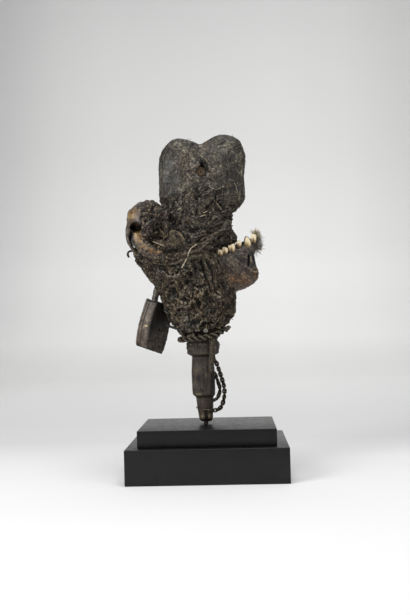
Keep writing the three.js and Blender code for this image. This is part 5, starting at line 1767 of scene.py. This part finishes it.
def crumbs(name, source, count, size, slot, wanted):
    """Small rough clods: one low ball, copied with its own turn, size and squash."""
    deselect()
    bpy.ops.mesh.primitive_ico_sphere_add(subdivisions=1, radius=1.0)
    seed_ball = bpy.context.object
    ball = points_of(seed_ball)
    ball_faces = np.array([list(p.vertices) for p in seed_ball.data.polygons])
    bpy.data.objects.remove(seed_ball)
    places, outward = skin_places(source, count, wanted)
    sizes = fibre_rng.uniform(*size, count) * fibre_rng.uniform(0.6, 1.0, count)
    squash = fibre_rng.uniform(0.55, 1.1, (count, 1, 3))
    uneven = fibre_rng.normal(1.0, 0.16, (count, len(ball), 1))
    shapes = ball[None] * squash * uneven * sizes[:, None, None]
    corners = shapes + (places + outward * (sizes * (0.5 - CLOD_SUNK))[:, None])[:, None]
    faces = ball_faces[None] + (np.arange(count) * len(ball))[:, None, None]
    piece = mesh_piece(name, corners.reshape(-1, 3), faces.reshape(-1, 3).tolist())
    settle(smooth(piece, 50), clod, slot)


clod = Finish("loose_clods", roughness=0.9, specular=0.2)
clod.colour(clod.blend(
    clod.span(clod.noise(1.6, 4, 0.7), 0.4, 0.6, 0.0, 0.6),
    clod.ramp(clod.each_strand(), (0.0, 14, 11, 9), (0.5, 48, 41, 33), (0.85, 82, 71, 56),
        (0.98, 140, 124, 96)), (20, 16, 13)))
clod.bump(clod.noise(0.8, 4, 0.8), 0.3, 0.8)
crumbs("crust_clods", bundle, 1600, (0.45, 1.35), "crust", bare_places)
crumbs("board_clods", board, 420, (0.4, 1.1), "board_wood",
    lambda c: np.clip((325 - c[:, 2]) / 9, 0, 1)
    + 0.7 * np.exp(-((c[:, 0] - 1) / 4) ** 2 - ((c[:, 2] - 357) / 4) ** 2) + 0.008)
crumbs("skull_clods", skull, 380, (0.6, 1.9), "old_bone", lambda c: np.clip((c[:, 0] + 68) / 8, 0, 1))
crumbs("jaw_clods", jaw, 160, (0.5, 1.4), "jaw_bone",
    lambda c: np.clip((28 - c[:, 0]) / 6, 0, 1) + 0.5 * (c[:, 2] > 254 + 0.3 * c[:, 0]))
crumbs("collar_clods", post, 260, (0.4, 1.0), "post_wood",
    lambda c: (c[:, 2] > 146) * np.clip((4 - c[:, 0]) / 8, 0.05, 1))

# %% [markdown]
# A few things stand out against the dark: pale straws, a curved quill, slivers of bone and
# knots. They are laid one by one, each on the skin where the photograph's eye finds it.

# %% Pale straws, quill and knots
def laid_line(places):
    """A smooth line through front places of x, z and how far each stands off the skin, in mm."""
    return even_path([from_front(x, z) + Vector((0, -lift, 0)) for x, z, lift in places], 0.9)

# %% [markdown]
# Straws are split and pale, each with a tone between two. They are given as short routes on
# the front, with a radius and a lift, so that one table holds them all.

# %% Straws and quill
pale_straw, _ = two_tone_finish(
    "pale_straw", (3, 4, 0.65), [(0.35, 112, 96, 74), (0.6, 168, 154, 128)],
    [(0.35, 136, 120, 94), (0.6, 204, 194, 170)], (0.8, 3), 0.08, 0.5, roughness=0.6, specular=0.4)
# radius, lift, then x and z of each point on the front
STRAWS = [(0.36, 0.9, [(13.8, 316.3), (18, 310.5), (22.3, 304.5)]),
    (0.55, 1.0, [(-28.6, 305.4), (-26.2, 306.7), (-23.8, 307.6)]),
    (0.5, 0.9, [(-32.2, 300.2), (-31.8, 296.8)]), (0.5, 0.7, [(-55.8, 299.8), (-54, 300.4), (-52, 300)]),
    (0.42, 0.5, [(27.2, 308), (29.4, 309.6)]), (0.36, 0.6, [(-1, 369.3), (2.6, 366.6)]),
    (0.3, 0.6, [(-17.2, 348), (-14, 344.4), (-11.2, 341)]), (0.26, 0.6, [(-23.9, 355.4), (-20.4, 359.2)]),
    (0.16, 0.5, [(-18, 356.5), (-13.2, 352.5)]), (0.16, 0.5, [(12.1, 350), (16, 354.5)]),
    (0.16, 0.5, [(12, 346), (19.3, 348)]), (0.16, 0.5, [(9, 352), (15, 353)]),
    (0.2, 0.5, [(2, 377), (8, 376)]), (0.3, 0.5, [(-6, 341), (-3, 337.5)]),
    (0.2, 0.5, [(4, 366), (7, 361)]), (0.5, 0.9, [(1.4, 300.7), (5.8, 302.9)]),
    (0.45, 0.9, [(-2.5, 296.2), (3.2, 298.2)]), (0.6, 0.5, [(8.3, 300.4), (9.7, 301.4)]),
    (0.2, 0.5, [(28, 374), (30, 369)]), (0.5, 0.9, [(-8.8, 215), (-6.6, 212.4)]),
    (0.4, 0.9, [(-4.6, 212.6), (-3.4, 208.6)]), (0.45, 0.9, [(-1.6, 214.6), (-0.6, 210.6)]),
    (0.35, 0.9, [(14.4, 210.8), (18, 208.8)]), (0.2, 0.5, [(-45, 358), (-39, 356.5)]),
    (0.26, 0.6, [(3, 250), (9, 246)]), (0.3, 0.8, [(22, 302), (27, 305)]),
    (0.42, 0.6, [(54.3, 251.2), (54.6, 244.3)]), (0.42, 0.5, [(56.6, 233.2), (59.4, 232.8), (61.6, 233.2)]),
    (0.5, 0.4, [(33.6, 241.2), (35, 240.2)]), (0.44, 0.4, [(38.2, 241.0), (39.4, 240.2)])]
straw_lines = [laid_line([(*place, lift) for place in route]) for _, lift, route in STRAWS]
QUILL_ROUTE = [(-6.6, 264.2, 1.2), (-11, 261.8, 2.0), (-14.6, 257.2, 2.9), (-17, 251, 3.0),
    (-20.4, 244, 2.3), (-24.4, 238, 1.4)]
quill = laid_line(QUILL_ROUTE)
quill[1:-1] = (quill[:-2] + quill[1:-1] + quill[2:]) / 3
sliver = laid_line([(-57.6, 269.9, 1.2), (-50.4, 266.5, 1.2), (-43, 263.2, 1.2)])
strands_piece("pale_straws", straw_lines + [quill, sliver], [radius for radius, *_ in STRAWS] + [0.6, 0.55],
    pale_straw, "crust", round_steps=2)

# %% [markdown]
# A brush of stiff hair stands out at the jaw's end. Each hair starts in a short row at the
# tip of the bone and fans out: the upper ones rise and are pale, the lower ones hang and
# are dull brown. A few lone whiskers stand off the edges of the board.

# %% Hair tuft and whiskers
hair_draw = np.random.default_rng(23)


def hair_rows(count, low_share, high_share, length, spread):
    hairs = []
    for _ in range(count):
        share = hair_draw.uniform(low_share, high_share)
        angle = math.radians(-58 + 148 * share + hair_draw.normal(0, spread))
        sideways = hair_draw.uniform(-0.6, 0.6)
        way = np.array((math.cos(angle), sideways, math.sin(angle)))
        way /= np.linalg.norm(way)
        root = np.array((58.4 + hair_draw.uniform(0, 1.8), hair_draw.uniform(-5, 4), 261.5 + 12.5 * share))
        reach = hair_draw.uniform(*length)
        bend = hair_draw.normal(0, 0.7, 3)
        hairs.append(np.array([root + way * reach * t + bend * t * t for t in np.linspace(0, 1, 5)]))
    return hairs


pale_hair = fibre_finish("pale_hair", (132, 116, 88), (176, 162, 130), (208, 196, 168), (236, 228, 206),
    soot=0.2)
dull_hair = fibre_finish("dull_hair", (56, 48, 41), (100, 90, 80), (136, 126, 114), (178, 169, 154),
    soot=0.3)
strands_piece("tuft_pale_hairs", hair_rows(170, 0.62, 1.05, (6, 12), 15), 0.21, pale_hair, "bristle",
    "hair_tuft")
strands_piece("tuft_dull_hairs", hair_rows(250, 0.0, 0.85, (5.5, 12), 24), 0.19, dull_hair, "bristle",
    "hair_tuft")

WHISKERS = [((-17.5, -6, 388.6), (4.2, 0, 2.4)), ((-14, -4, 388.6), (3, -1, 2.4)),
    ((6.5, -8, 384.2), (1.6, -2, 2.4)), ((48.8, -5, 372), (2.0, -1, -1.2)),
    ((-44, -6, 378), (-1.6, -1, 1.6)), ((36, -4, 393), (2, 0, 1.6)), ((-49.5, -8, 330), (-1.8, -1, 1.2)),
    ((46.5, -8, 318), (1.8, -1, -1.4))]
whisker_lines = [np.array([np.array(start) + np.array(way) * t + np.array((0, 0, 0.5)) * math.sin(3 * t)
    for t in np.linspace(-0.4, 1, 6)]) for start, way in WHISKERS]
strands_piece("board_whiskers", whisker_lines, 0.22, board_thread, "board_wood")
